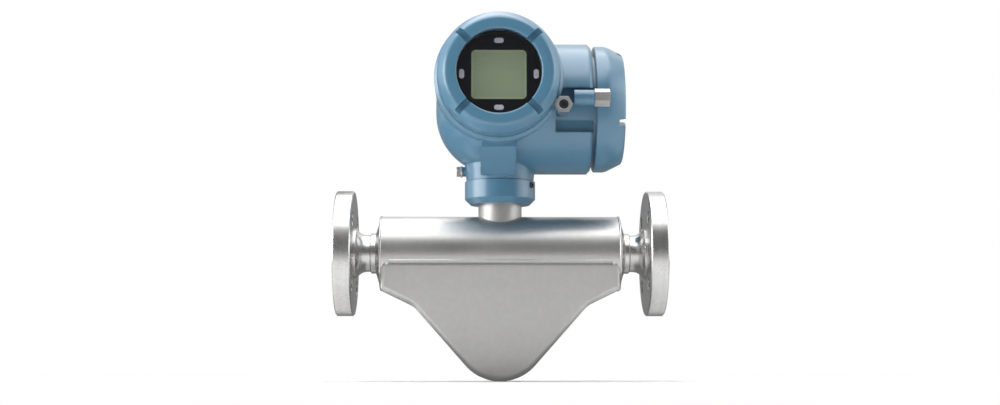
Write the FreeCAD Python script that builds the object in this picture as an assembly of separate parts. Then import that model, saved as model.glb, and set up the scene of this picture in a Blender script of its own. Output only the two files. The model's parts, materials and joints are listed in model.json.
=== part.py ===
import FreeCAD, Part
import math
import os
from FreeCAD import Placement, Rotation, Vector

# Coriolis flow meter, DN 25, with an integral transmitter. Millimetres.
# The origin is the centre of the inlet flange's sealing face, +X runs with the flow,
# +Z is up and the display looks along -Y.

# Process line and flanges
flange_diameter = 115.0
flange_thickness = 18.0
raised_face_diameter = 68.0
raised_face_height = 2.0
bolt_circle = 85.0
bolt_hole = 14.0
bolt_count = 4
hub_diameter = 46.0
hub_shoulder = 2.0
hub_taper = 11.0
hub_waist_share = 1 / 3
pipe_diameter = 33.7
pipe_bore = 28.5
flange_length = 40.0
edge_break = 1.0

# Sensor case
case_length = 218.0
case_stand = 3.0
case_diameter = 68.0
case_wall = 2.5
cap_cone = 5.0
cap_collar = 4.0
cap_collar_diameter = 37.0
cap_inside_step = 2.0
belly_top = -9.0
belly_side_step = 0.3
belly_bottom_half_width = 23.0
belly_knee_x = 79.0
belly_knee_drop = 48.7
belly_round_drop = 75.0
belly_round_radius = 42.0
belly_knee_blend = 24.0
belly_edge_blend = 5.0
seam_bead_radius = 2.0
seam_margin = 8.0

# Flow tubes and their fittings
tube_diameter = 12.7
tube_wall = 1.0
tube_spacing = 22.0
tube_bend_radius = 25.0
tube_round_radius = 30.0
tube_round_drop = 65.0
tube_stub = 4.0
manifold_body_diameter = 52.0
manifold_entry = 5.0
manifold_mouth_diameter = 34.0
manifold_mouth_depth = 10.0
manifold_length = 22.0
socket_depth = 4.0
brace_thickness = 2.0
brace_margin = 4.0
coil_diameter = 16.0
coil_length = 9.0
coil_bore = 8.0
magnet_diameter = 5.5
magnet_length = 15.0
sensor_bracket = 2.0
sensor_standoff = 10.0
pickoff_fraction = 0.35
temperature_diameter = 4.0
temperature_length = 14.0

# Neck between the sensor and the transmitter
neck_diameter = 40.0
neck_bore = 32.0
neck_top = 54.0
case_port = 24.0
feedthrough_thickness = 6.0
feedthrough_drop = 3.0
pin_count = 9
pin_circle = 18.0
pin_diameter = 1.6
pin_length = 14.0
collar_diameter = 65.0
collar_bottom = 45.0
collar_chamfer = 5.0
collar_top = 66.0
spigot_diameter = 51.9
oring_section = 2.5
oring_above_foot = 1.4
lock_groove_height = 5.0
lock_groove_depth = 1.45
lock_groove_above_foot = 5.5
lock_screw_diameter = 6.0
lock_point_diameter = 4.0
lock_screw_proud = 1.0
lock_socket = 3.0
lock_screw_angles = (-28.0, 152.0)

# Transmitter housing
throat_diameter = 62.0
throat_top_diameter = 68.0
wire_passage = 26.0
drum_axis_z = 134.5
drum_shoulder = 10.5
drum_left = 59.0
drum_round_start = 9.0
drum_right = 83.0
barrel_offset = -2.0
barrel_axis_z = 154.0
barrel_shoulder = 8.0
barrel_front = 63.0
barrel_dome = 50.0
housing_edge_blend = 3.0
column_width = 32.0
column_back = 15.5
column_bottom = 70.0
column_slope_top = 92.0
column_reach = 54.0
pocket_left = 49.0
pocket_bottom = 106.0
pocket_top = 145.0
pocket_floor = 47.0
neck_wall = 6.0
electronics_floor = 24.0
wiring_bore = 80.0
wiring_floor = 52.0
bulkhead_hole = 14.0
conduit_bore = 18.2
conduit_boss_diameter = 30.0
conduit_spacing = 36.0
conduit_station = 66.0
conduit_reach = 64.0
ground_boss_diameter = 9.0
ground_boss_reach = 35.0
ground_boss_z = 76.0

# Covers
display_gap = 3.0
display_cover_wall = 4.5
display_ring_step = 6.5
display_bevel = 10.0
wiring_gap = 3.0
wiring_cover_wall = 8.5
wiring_ring_step = 8.0
wiring_bevel = 16.0
rim_inner_diameter = 75.0
notch_inner_diameter = 38.0
rim_height = 7.0
display_cover_depth = 30.0
wiring_cover_depth = 27.0
wiring_plate = 7.0
glass_thickness = 6.0
glass_overlap = 3.5
retainer_thickness = 3.0
retainer_lip = 2.0
notch_count = 4
notch_width = 8.0
notch_depth = 6.0
display_notch_angle = 45.0
wiring_notch_angle = 22.0
seal_margin = 1.5
seal_width = 4.0
seal_thickness = 1.5
seal_free_gap = 0.2

# Cover clamps
clamp_flats = 14.0
clamp_length = 13.5
clamp_clearance = 0.3
clamp_nose_width = 7.0
clamp_nose_reach = 11.5
clamp_stand_off = 8.8
clamp_boss_diameter = 14.0
display_clamp_angle = -25.0
clamp_boss_length = 18.0
clamp_web = 6.0
clamp_screw_diameter = 5.0
clamp_head_diameter = 8.5
clamp_head_length = 5.0
clamp_screw_length = 20.0
clamp_socket = 4.0

# Display, electronics and terminals
display_front = 75.0
bezel_gap = 8.0
bezel_margin = 1.66
bezel_thickness = 9.0
lcd_width = 51.0
lcd_height = 46.0
lcd_depth = 2.5
pad_length = 8.5
pad_width = 4.5
pad_thickness = 0.8
pad_edge_x = 3.0
pad_edge_z = 6.0
board_thickness = 1.6
standoff_diameter = 6.0
standoff_length = 10.0
standoff_count = 3
standoff_inset = 6.0
standoff_first = 90.0
module_gap = 2.0
module_screw_count = 3
module_screw_inset = 12.0
module_screw_first = 30.0
module_screw_diameter = 4.0
module_screw_head = 7.0
module_screw_depth = 3.0
module_screw_thread = 6.0
terminal_count = 8
terminal_pitch = 6.5
terminal_depth = 13.0
terminal_height = 22.0
terminal_base = 4.0
terminal_step = 5.5
terminal_screw_diameter = 4.0
terminal_screw_proud = 0.6
plug_hex = 22.0
plug_head = 6.0
plug_thread = 14.0
plug_socket = 8.0
ground_hex = 8.0
ground_head = 4.0
ground_thread_diameter = 5.0
ground_thread_length = 7.0
ground_washer_diameter = 11.0
ground_washer = 1.2

# Fits
slip = 0.05
running = 0.05

# Worked out from the sizes above
face_to_face = case_length + 2 * (flange_length + case_stand)
centre_x = face_to_face / 2
case_half = case_length / 2
case_radius = case_diameter / 2
seam_reach = math.sqrt(case_radius**2 - belly_top**2)
belly_top_half_width = seam_reach - belly_side_step
seam_half_length = case_half - seam_margin
manifold_start = centre_x - flange_length
manifold_end = manifold_start - manifold_length
tube_bend_start = manifold_end - tube_stub
tube_radius = tube_diameter / 2
tube_offset = tube_spacing / 2
spigot_foot = neck_top
glass_diameter = rim_inner_diameter + 2 * glass_overlap
retainer_diameter = glass_diameter + 2 * retainer_lip
bezel_diameter = math.hypot(lcd_width, lcd_height) + 2 * bezel_margin
pad_circle_x = bezel_diameter / 2 - pad_edge_x
pad_circle_z = bezel_diameter / 2 - pad_edge_z
electronics_bore = bezel_diameter + 2 * bezel_gap
thread_neck_diameter = electronics_bore + 2 * neck_wall
seal_outer_diameter = thread_neck_diameter - 2 * seal_margin
seal_inner_diameter = seal_outer_diameter - 2 * seal_width
barrel_diameter = thread_neck_diameter + 2 * barrel_shoulder
drum_diameter = thread_neck_diameter + 2 * drum_shoulder
display_cover_diameter = thread_neck_diameter + 2 * display_cover_wall
display_ring_diameter = display_cover_diameter - 2 * display_ring_step
display_clamp_offset = display_cover_diameter / 2 + clamp_stand_off
wiring_cover_diameter = thread_neck_diameter + 2 * wiring_cover_wall
wiring_ring_diameter = wiring_cover_diameter - 2 * wiring_ring_step
wiring_clamp_offset = wiring_cover_diameter / 2 + clamp_stand_off
module_diameter = electronics_bore - 2 * module_gap
standoff_circle = bezel_diameter - 2 * standoff_inset
module_screw_circle = module_diameter - 2 * module_screw_inset
wiring_skirt = drum_right + wiring_gap
display_skirt = barrel_front + display_gap
display_land = display_cover_depth - rim_height - glass_thickness - retainer_thickness
wiring_land = wiring_cover_depth - rim_height - wiring_plate
display_neck = display_land - seal_thickness - seal_free_gap
wiring_neck = wiring_land - seal_thickness - seal_free_gap

X = Vector(1, 0, 0)
Y = Vector(0, 1, 0)
Z = Vector(0, 0, 1)
ORIGIN = Vector(0, 0, 0)

meter_centre = Vector(centre_x, 0, 0)
drum_centre = Vector(centre_x, 0, drum_axis_z)
barrel_centre = Vector(centre_x + barrel_offset, 0, barrel_axis_z)
display_cover_base = barrel_centre - Y * display_skirt
wiring_cover_base = drum_centre + X * wiring_skirt


def outline(points, place):
    """Closed wire. A point ends a straight edge, a (through, end) pair ends an arc."""
    edges = []
    here = place(points[0])
    for step in points[1:] + points[:1]:
        if isinstance(step[0], tuple):
            end = place(step[1])
            edges.append(Part.Arc(here, place(step[0]), end).toShape())
        else:
            end = place(step)
            edges.append(Part.makeLine(here, end))
        here = end
    return Part.Wire(edges)


def turned(points, base=ORIGIN, axis=X):
    """Solid of revolution from (station, radius) points about an axis through base."""
    face = Part.Face(outline(points, lambda p: Vector(p[1], 0, p[0])))
    solid = face.revolve(ORIGIN, Z, 360)
    solid.Placement = Placement(base, Rotation(Z, axis))
    return solid


def rod(diameter, base, axis, length):
    return Part.makeCylinder(diameter / 2, length, base, axis)


def ring(outer, inner, base, axis, length):
    return rod(outer, base, axis, length).cut(rod(inner, base, axis, length))


def block(low, high):
    size = high - low
    return Part.makeBox(size.x, size.y, size.z, low)


def hexagon(flats, base, axis, length):
    """Hexagonal prism that stands on base and rises along axis."""
    corner = flats / math.sqrt(3)
    points = [Vector(corner, 0, 0)]
    for side in range(1, 7):
        turn = math.radians(60 * side)
        points.append(Vector(corner * math.cos(turn), corner * math.sin(turn), 0))
    prism = Part.Face(Part.makePolygon(points)).extrude(Z * length)
    prism.Placement = Placement(base, Rotation(Z, axis))
    return prism


def mirrored(shape):
    """The same piece at the other end of the meter."""
    return shape.mirror(meter_centre, X)


def joined(shapes):
    return shapes[0].fuse(shapes[1:]).removeSplitter()


def parallel_edges(shape, direction):
    """Straight edges of a shape that run along one direction."""
    found = []
    for edge in shape.Edges:
        if edge.Curve.TypeId != "Part::GeomLine":
            continue
        if abs(abs(edge.Curve.Direction.dot(direction)) - 1) < 1e-6:
            found.append(edge)
    return found


# Flanges and flow splitters


def flange():
    bore = pipe_bore / 2
    raised = raised_face_diameter / 2
    outer = flange_diameter / 2
    hub = hub_diameter / 2
    pipe = pipe_diameter / 2
    hub_start = flange_thickness + hub_shoulder
    waist = (hub_start + hub_taper * hub_waist_share, pipe + (hub - pipe) * hub_waist_share)
    body = turned([
        (0, bore),
        (0, raised),
        (raised_face_height, raised),
        (raised_face_height, outer - edge_break),
        (raised_face_height + edge_break, outer),
        (flange_thickness - edge_break, outer),
        (flange_thickness, outer - edge_break),
        (flange_thickness, hub),
        (hub_start, hub),
        (waist, (hub_start + hub_taper, pipe)),
        (flange_length, pipe),
        (flange_length, bore),
    ])
    for index in range(bolt_count):
        angle = math.radians((index + 0.5) * 360 / bolt_count)
        place = Vector(0, math.cos(angle), math.sin(angle)) * (bolt_circle / 2)
        body = body.cut(rod(bolt_hole, place, X, flange_thickness))
    return body


def manifold():
    """Casting that splits the flow from the pipe bore into the two tubes."""
    bore = pipe_bore / 2
    pipe = pipe_diameter / 2
    body_radius = manifold_body_diameter / 2
    mouth = manifold_mouth_diameter / 2
    start = Vector(flange_length, 0, 0)
    body = turned([
        (0, 0),
        (0, pipe),
        (manifold_entry, pipe),
        (manifold_entry + cap_inside_step, body_radius),
        (manifold_length, body_radius),
        (manifold_length, 0),
    ], start)
    mouth_cone = turned([(0, 0), (0, bore), (manifold_mouth_depth, mouth), (manifold_mouth_depth, 0)], start)
    body = body.cut(mouth_cone)
    for side in (-1, 1):
        port = start + Y * (side * tube_offset)
        body = body.cut(rod(tube_diameter - 2 * tube_wall, port, X, manifold_length))
        socket = port + X * (manifold_length - socket_depth)
        body = body.cut(rod(tube_diameter + 2 * slip, socket, X, socket_depth))
    return body


# Flow tubes and what they carry


def tube_slope():
    """Angle of the tubes' straight legs below the pipe axis."""
    across = tube_bend_start
    down = tube_round_drop - tube_bend_radius
    apart = math.hypot(across, down)
    return math.atan2(down, across) + math.asin((tube_bend_radius + tube_round_radius) / apart)


def leg_ends():
    """Upper and lower end of the outlet side's straight leg, from the meter's centre."""
    slope = tube_slope()
    lean = Vector(math.sin(slope), 0, -math.cos(slope))
    upper = Vector(tube_bend_start, 0, -tube_bend_radius) - lean * tube_bend_radius
    lower = Vector(0, 0, -tube_round_drop) + lean * tube_round_radius
    return upper, lower


def tube_path(side):
    """Centre line of one flow tube: two stubs, two bends, two legs and the round bottom."""
    upper, lower = leg_ends()
    half_slope = tube_slope() / 2
    middle = Vector(tube_bend_start - tube_bend_radius * math.sin(half_slope), 0,
                    tube_bend_radius * (math.cos(half_slope) - 1))
    bottom = Vector(0, 0, -tube_round_drop - tube_round_radius)
    bend = Vector(tube_bend_start, 0, 0)
    stub = Vector(manifold_end + socket_depth, 0, 0)
    shift = meter_centre + Y * (side * tube_offset)

    def here(point):
        return shift + point

    def other(point):
        return shift + Vector(-point.x, point.y, point.z)

    return Part.Wire([
        Part.makeLine(other(stub), other(bend)),
        Part.Arc(other(bend), other(middle), other(upper)).toShape(),
        Part.makeLine(other(upper), other(lower)),
        Part.Arc(other(lower), here(bottom), here(lower)).toShape(),
        Part.makeLine(here(lower), here(upper)),
        Part.Arc(here(upper), here(middle), here(bend)).toShape(),
        Part.makeLine(here(bend), here(stub)),
    ])


def swept_tube(side, diameter):
    path = tube_path(side)
    start = path.Edges[0].Vertexes[0].Point
    circle = Part.Wire([Part.makeCircle(diameter / 2, start, X)])
    return path.makePipeShell([circle], True, True)


def flow_tube(side):
    return swept_tube(side, tube_diameter).cut(swept_tube(side, tube_diameter - 2 * tube_wall))


def brace():
    """Plate brazed to both tubes just past the inlet manifold."""
    half_width = tube_offset + tube_radius + brace_margin
    half_height = tube_radius + brace_margin
    station = centre_x - manifold_end + brace_margin - brace_thickness
    plate = block(
        Vector(station, -half_width, -half_height),
        Vector(station + brace_thickness, half_width, half_height),
    )
    plate = plate.makeFillet(half_height - edge_break, parallel_edges(plate, X))
    for side in (-1, 1):
        plate = plate.cut(swept_tube(side, tube_diameter))
    return plate


def leg_frame(fraction):
    """Place on the outlet leg and the direction that points into the tubes' loop."""
    upper, lower = leg_ends()
    slope = tube_slope()
    place = meter_centre + lower + (upper - lower) * fraction
    return place, Vector(-math.sin(slope), 0, math.cos(slope))


def coil_bracket(place, inward, side):
    """Flat tab that stands on one tube and reaches to the coil's axis."""
    reach = sensor_standoff + tube_radius + coil_diameter / 2
    low = Vector(-coil_diameter / 2, side * tube_offset - sensor_bracket / 2, 0)
    tab = Part.makeBox(coil_diameter, sensor_bracket, reach, low)
    tab.Placement = Placement(place, Rotation(Z, inward))
    return tab.cut(swept_tube(side, tube_diameter))


def coil(place, inward):
    tab = coil_bracket(place, inward, 1)
    centre = place + inward * (tube_radius + sensor_standoff)
    inner = tube_offset - sensor_bracket / 2
    former = rod(coil_diameter, centre + Y * inner, -Y, coil_length)
    whole = joined([tab, former])
    return whole.cut(rod(coil_bore, centre + Y * tube_spacing, -Y, 2 * tube_spacing))


def magnet(place, inward):
    tab = coil_bracket(place, inward, -1)
    centre = place + inward * (tube_radius + sensor_standoff)
    inner = tube_offset - sensor_bracket / 2
    return joined([tab, rod(magnet_diameter, centre - Y * inner, Y, magnet_length)])


def drive_frame():
    return meter_centre - Z * (tube_round_drop + tube_round_radius), Z


def temperature_sensor():
    """Small resistance sensor strapped along the rear tube's inlet leg."""
    place, inward = leg_frame(1 - pickoff_fraction)
    along = inward.cross(Y)
    centre = place + inward * (tube_radius + temperature_diameter / 2 - slip) + Y * tube_offset
    body = rod(temperature_diameter, centre - along * (temperature_length / 2), along, temperature_length)
    return mirrored(body.cut(swept_tube(1, tube_diameter)))


# Sensor case


def belly_solid(inset):
    """Outer shape of the case's belly, or its hollow when inset by the wall."""
    round_centre = (0, -belly_round_drop)
    radius = belly_round_radius - inset
    knee = (belly_knee_x - inset, -belly_knee_drop + inset / 2)
    end = case_half - inset
    shoulder = -case_radius + inset / 2
    to_knee = math.hypot(knee[0], knee[1] - round_centre[1])
    turn = math.atan2(knee[1] - round_centre[1], knee[0]) - math.acos(radius / to_knee)
    touch = (radius * math.cos(turn), round_centre[1] + radius * math.sin(turn))
    profile = outline([
        (-end, belly_top),
        (-end, shoulder),
        (-knee[0], knee[1]),
        (-touch[0], touch[1]),
        ((0, round_centre[1] - radius), touch),
        knee,
        (end, shoulder),
        (end, belly_top),
    ], lambda p: Vector(centre_x + p[0], -case_radius, p[1]))
    body = Part.Face(profile).extrude(Y * case_diameter)
    knees = []
    for edge in parallel_edges(body, Y):
        if abs(abs(edge.Vertexes[0].Point.x - centre_x) - knee[0]) < slip:
            knees.append(edge)
    body = body.makeFillet(belly_knee_blend, knees).common(belly_wedge(inset))
    rims = []
    for edge in body.Edges:
        middle = edge.valueAt((edge.FirstParameter + edge.LastParameter) / 2)
        on_face = abs(abs(middle.y) - belly_half_width(middle.z, inset)) < slip
        across = abs(edge.Vertexes[0].Point.y - edge.Vertexes[-1].Point.y) > belly_bottom_half_width
        if on_face and middle.z < belly_top - slip and not across:
            rims.append(edge)
    return body.makeFillet(belly_edge_blend - inset, rims)


def belly_half_width(z, inset):
    share = (belly_top - z) / (belly_round_drop + belly_round_radius + belly_top)
    return belly_top_half_width + (belly_bottom_half_width - belly_top_half_width) * share - inset


def belly_wedge(inset):
    """Prism that tapers the belly towards its bottom."""
    low = -belly_round_drop - belly_round_radius - 1
    top = belly_half_width(belly_top, inset)
    foot = belly_half_width(low, inset)
    profile = outline(
        [(-top, belly_top), (-foot, low), (foot, low), (top, belly_top)],
        lambda p: Vector(0, p[0], p[1]),
    )
    return Part.Face(profile).extrude(X * face_to_face)


def case_cylinder(diameter):
    return rod(diameter, Vector(centre_x - case_half, 0, 0), X, case_length)


def case_tube(belly_hollow):
    tube = case_cylinder(case_diameter).cut(case_cylinder(case_diameter - 2 * case_wall))
    tube = tube.cut(belly_hollow)
    return tube.cut(rod(case_port, meter_centre, Z, case_diameter))


def case_belly(side, belly_outer, belly_hollow):
    """Pressed half shell with the weld bead along its top edge."""
    half = block(
        Vector(0, min(0, side * case_diameter), -face_to_face),
        Vector(face_to_face, max(0, side * case_diameter), belly_top),
    )
    shell = belly_outer.cut(belly_hollow).common(half)
    bead_start = Vector(centre_x - seam_half_length, side * seam_reach, belly_top)
    bead = rod(2 * seam_bead_radius, bead_start, X, 2 * seam_half_length)
    return joined([shell, bead]).cut(case_cylinder(case_diameter))


def end_cap():
    pipe = pipe_diameter / 2 + slip
    collar = cap_collar_diameter / 2
    inner = case_radius - case_wall - slip
    return turned([
        (0, case_radius),
        (cap_cone, collar),
        (cap_cone + cap_collar, collar),
        (cap_cone + cap_collar, pipe),
        (cap_inside_step, pipe),
        (-cap_inside_step, inner),
        (0, inner),
    ], Vector(centre_x - case_half, 0, 0), -X)


# Neck and collar


def sensor_neck():
    outer = rod(neck_diameter, meter_centre, Z, neck_top)
    inner = rod(neck_bore, meter_centre, Z, neck_top)
    return outer.cut(inner).cut(case_cylinder(case_diameter))


def feedthrough_base():
    return meter_centre + Z * (neck_top - feedthrough_drop - feedthrough_thickness)


def feedthrough_pin_places():
    places = []
    for index in range(pin_count):
        angle = 2 * math.pi * index / pin_count
        places.append(Vector(math.cos(angle), math.sin(angle), 0) * (pin_circle / 2))
    return places


def feedthrough_disc():
    disc = rod(neck_bore - 2 * slip, feedthrough_base(), Z, feedthrough_thickness)
    for place in feedthrough_pin_places():
        disc = disc.cut(rod(pin_diameter, feedthrough_base() + place, Z, feedthrough_thickness))
    return disc


def feedthrough_pins():
    below = (pin_length - feedthrough_thickness) / 2
    pins = []
    for place in feedthrough_pin_places():
        pins.append(rod(pin_diameter, feedthrough_base() + place - Z * below, Z, pin_length))
    return Part.makeCompound(pins)


def lock_screw_height():
    return spigot_foot + lock_groove_above_foot + lock_groove_height / 2


def lock_screw_axes():
    axes = []
    for angle in lock_screw_angles:
        turn = math.radians(angle)
        axes.append(Vector(math.cos(turn), math.sin(turn), 0))
    return axes


def base_collar():
    outer = collar_diameter / 2
    step = spigot_diameter / 2 + running
    bore = neck_diameter / 2 + slip
    body = turned([
        (collar_bottom, bore),
        (collar_bottom, outer - collar_chamfer),
        (collar_bottom + collar_chamfer, outer),
        (collar_top, outer),
        (collar_top, step),
        (spigot_foot, step),
        (spigot_foot, bore),
    ], meter_centre, Z)
    centre = meter_centre + Z * lock_screw_height()
    for axis in lock_screw_axes():
        body = body.cut(rod(lock_screw_diameter + 2 * slip, centre, axis, collar_diameter))
    return body


def collar_screws():
    """Set screws whose points sit in the housing's groove."""
    centre = meter_centre + Z * lock_screw_height()
    groove_floor = spigot_diameter / 2 - lock_groove_depth
    body_start = spigot_diameter / 2 + clamp_clearance
    end = collar_diameter / 2 + lock_screw_proud
    screws = []
    for axis in lock_screw_axes():
        point_start = centre + axis * (groove_floor + clamp_clearance)
        point = rod(lock_point_diameter, point_start, axis, lock_groove_depth)
        body = rod(lock_screw_diameter, centre + axis * body_start, axis, end - body_start)
        socket_base = centre + axis * (end - lock_socket)
        screws.append(joined([point, body]).cut(hexagon(lock_socket, socket_base, axis, lock_socket)))
    return Part.makeCompound(screws)


def swivel_oring():
    radius = (spigot_diameter - oring_section) / 2
    height = spigot_foot + oring_above_foot + oring_section / 2
    return Part.makeTorus(radius, oring_section / 2, meter_centre + Z * height, Z)


# Transmitter housing


def drum():
    """Horizontal drum of the wiring side with its rounded closed end."""
    radius = drum_diameter / 2
    length = drum_left - drum_round_start
    corner = math.sqrt(0.5)
    waist = (-drum_round_start - length * corner, radius * corner)
    body = turned([
        (-drum_left, 0),
        (waist, (-drum_round_start, radius)),
        (drum_right - housing_edge_blend, radius),
        (drum_right, radius - housing_edge_blend),
        (drum_right, 0),
    ], drum_centre)
    pocket = block(
        Vector(centre_x + pocket_left, -drum_diameter, pocket_bottom),
        Vector(centre_x + drum_right, -pocket_floor, pocket_top),
    )
    return body.cut(pocket)


def barrel():
    """Upright-facing barrel of the display side with its domed back."""
    radius = barrel_diameter / 2
    corner = math.sqrt(0.5)
    return turned([
        (-barrel_dome, 0),
        ((-barrel_dome * corner, radius * corner), (0, radius)),
        (barrel_front - housing_edge_blend, radius),
        (barrel_front, radius - housing_edge_blend),
        (barrel_front, 0),
    ], barrel_centre, -Y)


def throat():
    """Neck of the casting with the spigot that turns in the base collar."""
    spigot = spigot_diameter / 2
    ring_floor = spigot - oring_section
    lock_floor = spigot - lock_groove_depth
    ring_low = spigot_foot + oring_above_foot
    ring_high = ring_low + oring_section
    lock_low = spigot_foot + lock_groove_above_foot
    lock_high = lock_low + lock_groove_height
    return turned([
        (spigot_foot, 0),
        (spigot_foot, spigot),
        (ring_low, spigot),
        (ring_low, ring_floor),
        (ring_high, ring_floor),
        (ring_high, spigot),
        (lock_low, spigot),
        (lock_low, lock_floor),
        (lock_high, lock_floor),
        (lock_high, spigot),
        (collar_top, spigot),
        (collar_top, throat_diameter / 2),
        (barrel_axis_z - barrel_diameter / 2, throat_top_diameter / 2),
        (drum_axis_z - electronics_floor, throat_top_diameter / 2),
        (drum_axis_z - electronics_floor, 0),
    ], meter_centre, Z)


def column():
    """Front rib that carries the display barrel on the throat."""
    back = -column_back
    profile = outline([
        (back, column_bottom),
        (-throat_diameter / 2, column_bottom),
        (-column_reach, column_slope_top),
        (-column_reach, barrel_axis_z - electronics_bore / 2),
        (back, barrel_axis_z - electronics_bore / 2),
    ], lambda p: Vector(barrel_centre.x - column_width / 2, p[0], p[1]))
    return Part.Face(profile).extrude(X * column_width)


def conduit_axes():
    """Start of each rear cable entry on the drum's axis plane."""
    places = []
    for side in (-1, 1):
        places.append(drum_centre + X * conduit_station + Z * (side * conduit_spacing / 2))
    return places


def display_clamp_centre():
    turn = math.radians(display_clamp_angle)
    away = Vector(math.cos(turn), 0, math.sin(turn)) * display_clamp_offset
    return barrel_centre + away - Y * barrel_front


def wiring_clamp_centre():
    return drum_centre + X * drum_right - Y * wiring_clamp_offset


def clamp_bosses():
    display_base = display_clamp_centre()
    wiring_base = wiring_clamp_centre()
    web = block(
        wiring_base + Vector(-clamp_boss_length, 0, -clamp_web / 2),
        wiring_base + Vector(0, wiring_clamp_offset - pocket_floor + clamp_web, clamp_web / 2),
    )
    return [
        rod(clamp_boss_diameter, display_base, Y, clamp_boss_length),
        rod(clamp_boss_diameter, wiring_base, -X, clamp_boss_length),
        web,
    ]


def housing():
    """Cast housing: the drum, the display barrel, the throat and the bosses in one piece."""
    ground_base = Vector(centre_x, 0, ground_boss_z)
    pieces = [drum(), barrel(), throat(), column()]
    pieces += clamp_bosses()
    pieces.append(rod(ground_boss_diameter, ground_base, -X, ground_boss_reach))
    pieces.append(rod(thread_neck_diameter, barrel_centre, -Y, display_skirt + display_neck))
    pieces.append(rod(thread_neck_diameter, drum_centre, X, wiring_skirt + wiring_neck))
    for place in conduit_axes():
        pieces.append(rod(conduit_boss_diameter, place, Y, conduit_reach))
    body = joined(pieces)
    cavity = barrel_centre + Y * electronics_floor
    cuts = [
        rod(electronics_bore, cavity, -Y, electronics_floor + 2 * display_skirt),
        rod(wiring_bore, drum_centre + X * wiring_floor, X, drum_right + wiring_skirt),
        rod(wire_passage, meter_centre, Z, barrel_axis_z),
        rod(bulkhead_hole, drum_centre, X, wiring_skirt),
        rod(ground_thread_diameter, ground_base - X * ground_boss_reach, X, ground_thread_length),
        rod(clamp_screw_diameter + 2 * running, display_clamp_centre(), Y, clamp_screw_length),
        rod(clamp_screw_diameter + 2 * running, wiring_clamp_centre(), -X, clamp_screw_length),
    ]
    for place in conduit_axes():
        cuts.append(rod(conduit_bore, place, Y, conduit_reach))
    for place in module_screw_places():
        cuts.append(rod(module_screw_diameter, cavity + place, Y, module_screw_thread))
    for cut in cuts:
        body = body.cut(cut)
    return body


def bulkhead_plug():
    """Sealed wire bushing between the two compartments."""
    start = centre_x + barrel_offset + electronics_bore / 2
    length = centre_x + wiring_floor - start
    body = rod(bulkhead_hole, Vector(start, 0, drum_axis_z), X, length)
    return body


# Covers, window and seals


def notches(depth, first_angle, base, axis):
    """Four key slots across the raised rim of a cover."""
    slots = []
    inner = notch_inner_diameter / 2
    for index in range(notch_count):
        slot = Part.makeBox(rim_inner_diameter, notch_width, notch_depth,
                            Vector(inner, -notch_width / 2, depth - notch_depth))
        slot.rotate(ORIGIN, Z, first_angle + 360 / notch_count * index)
        slot.Placement = Placement(base, Rotation(Z, axis)).multiply(slot.Placement)
        slots.append(slot)
    return slots


def cover_outside(depth, skirt, bevel, front):
    """(station, radius) points that both covers share, from the skirt to the rim."""
    return [
        (0, thread_neck_diameter / 2 + 2 * running),
        (0, skirt / 2 - edge_break),
        (edge_break, skirt / 2),
        (depth - bevel, skirt / 2),
        (depth, front / 2),
        (depth, rim_inner_diameter / 2 + edge_break),
        (depth - edge_break, rim_inner_diameter / 2),
    ]


def display_cover():
    depth = display_cover_depth
    glass_front = depth - rim_height
    glass_back = glass_front - glass_thickness
    pocket = glass_diameter / 2 + slip
    thread = retainer_diameter / 2 + slip
    outside = cover_outside(depth, display_cover_diameter, display_bevel, display_ring_diameter)
    body = turned(outside + [
        (glass_front, rim_inner_diameter / 2),
        (glass_front, pocket),
        (glass_back, pocket),
        (glass_back, thread),
        (display_land, thread),
        (display_land, thread_neck_diameter / 2 + 2 * running),
    ], display_cover_base, -Y)
    for slot in notches(depth, display_notch_angle, display_cover_base, -Y):
        body = body.cut(slot)
    return body


def wiring_cover():
    depth = wiring_cover_depth
    outside = cover_outside(depth, wiring_cover_diameter, wiring_bevel, wiring_ring_diameter)
    body = turned(outside + [
        (depth - rim_height, rim_inner_diameter / 2),
        (depth - rim_height, 0),
        (wiring_land, 0),
        (wiring_land, thread_neck_diameter / 2 + 2 * running),
    ], wiring_cover_base, X)
    for slot in notches(depth, wiring_notch_angle, wiring_cover_base, X):
        body = body.cut(slot)
    return body


def window_glass():
    start = display_cover_base - Y * (display_land + retainer_thickness)
    return rod(glass_diameter, start, -Y, glass_thickness)


def window_retainer():
    start = display_cover_base - Y * display_land
    return ring(retainer_diameter, rim_inner_diameter, start, -Y, retainer_thickness)


def cover_seal(base, axis, land):
    start = base + axis * (land - seal_thickness)
    return ring(seal_outer_diameter, seal_inner_diameter, start, axis, seal_thickness)


# Cover clamps


def clamp(base, axis, towards_cover, gap):
    """Hexagonal clamp whose nose reaches behind a cover's skirt."""
    foot = base + axis * clamp_clearance
    body = hexagon(clamp_flats, foot, axis, clamp_length)
    nose_depth = gap - 2 * clamp_clearance
    nose = Part.makeBox(nose_depth, clamp_nose_width, clamp_nose_reach, Vector(0, -clamp_nose_width / 2, 0))
    turn = FreeCAD.Matrix()
    side = towards_cover.cross(axis)
    turn.A11, turn.A21, turn.A31 = axis.x, axis.y, axis.z
    turn.A12, turn.A22, turn.A32 = side.x, side.y, side.z
    turn.A13, turn.A23, turn.A33 = towards_cover.x, towards_cover.y, towards_cover.z
    nose.Placement = Placement(foot, Rotation(turn))
    body = joined([body, nose])
    body = body.cut(rod(clamp_screw_diameter + 2 * running, foot, axis, clamp_length))
    head_seat = foot + axis * (clamp_length - clamp_head_length)
    return body.cut(rod(clamp_head_diameter + 2 * running, head_seat, axis, clamp_head_length))


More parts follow.
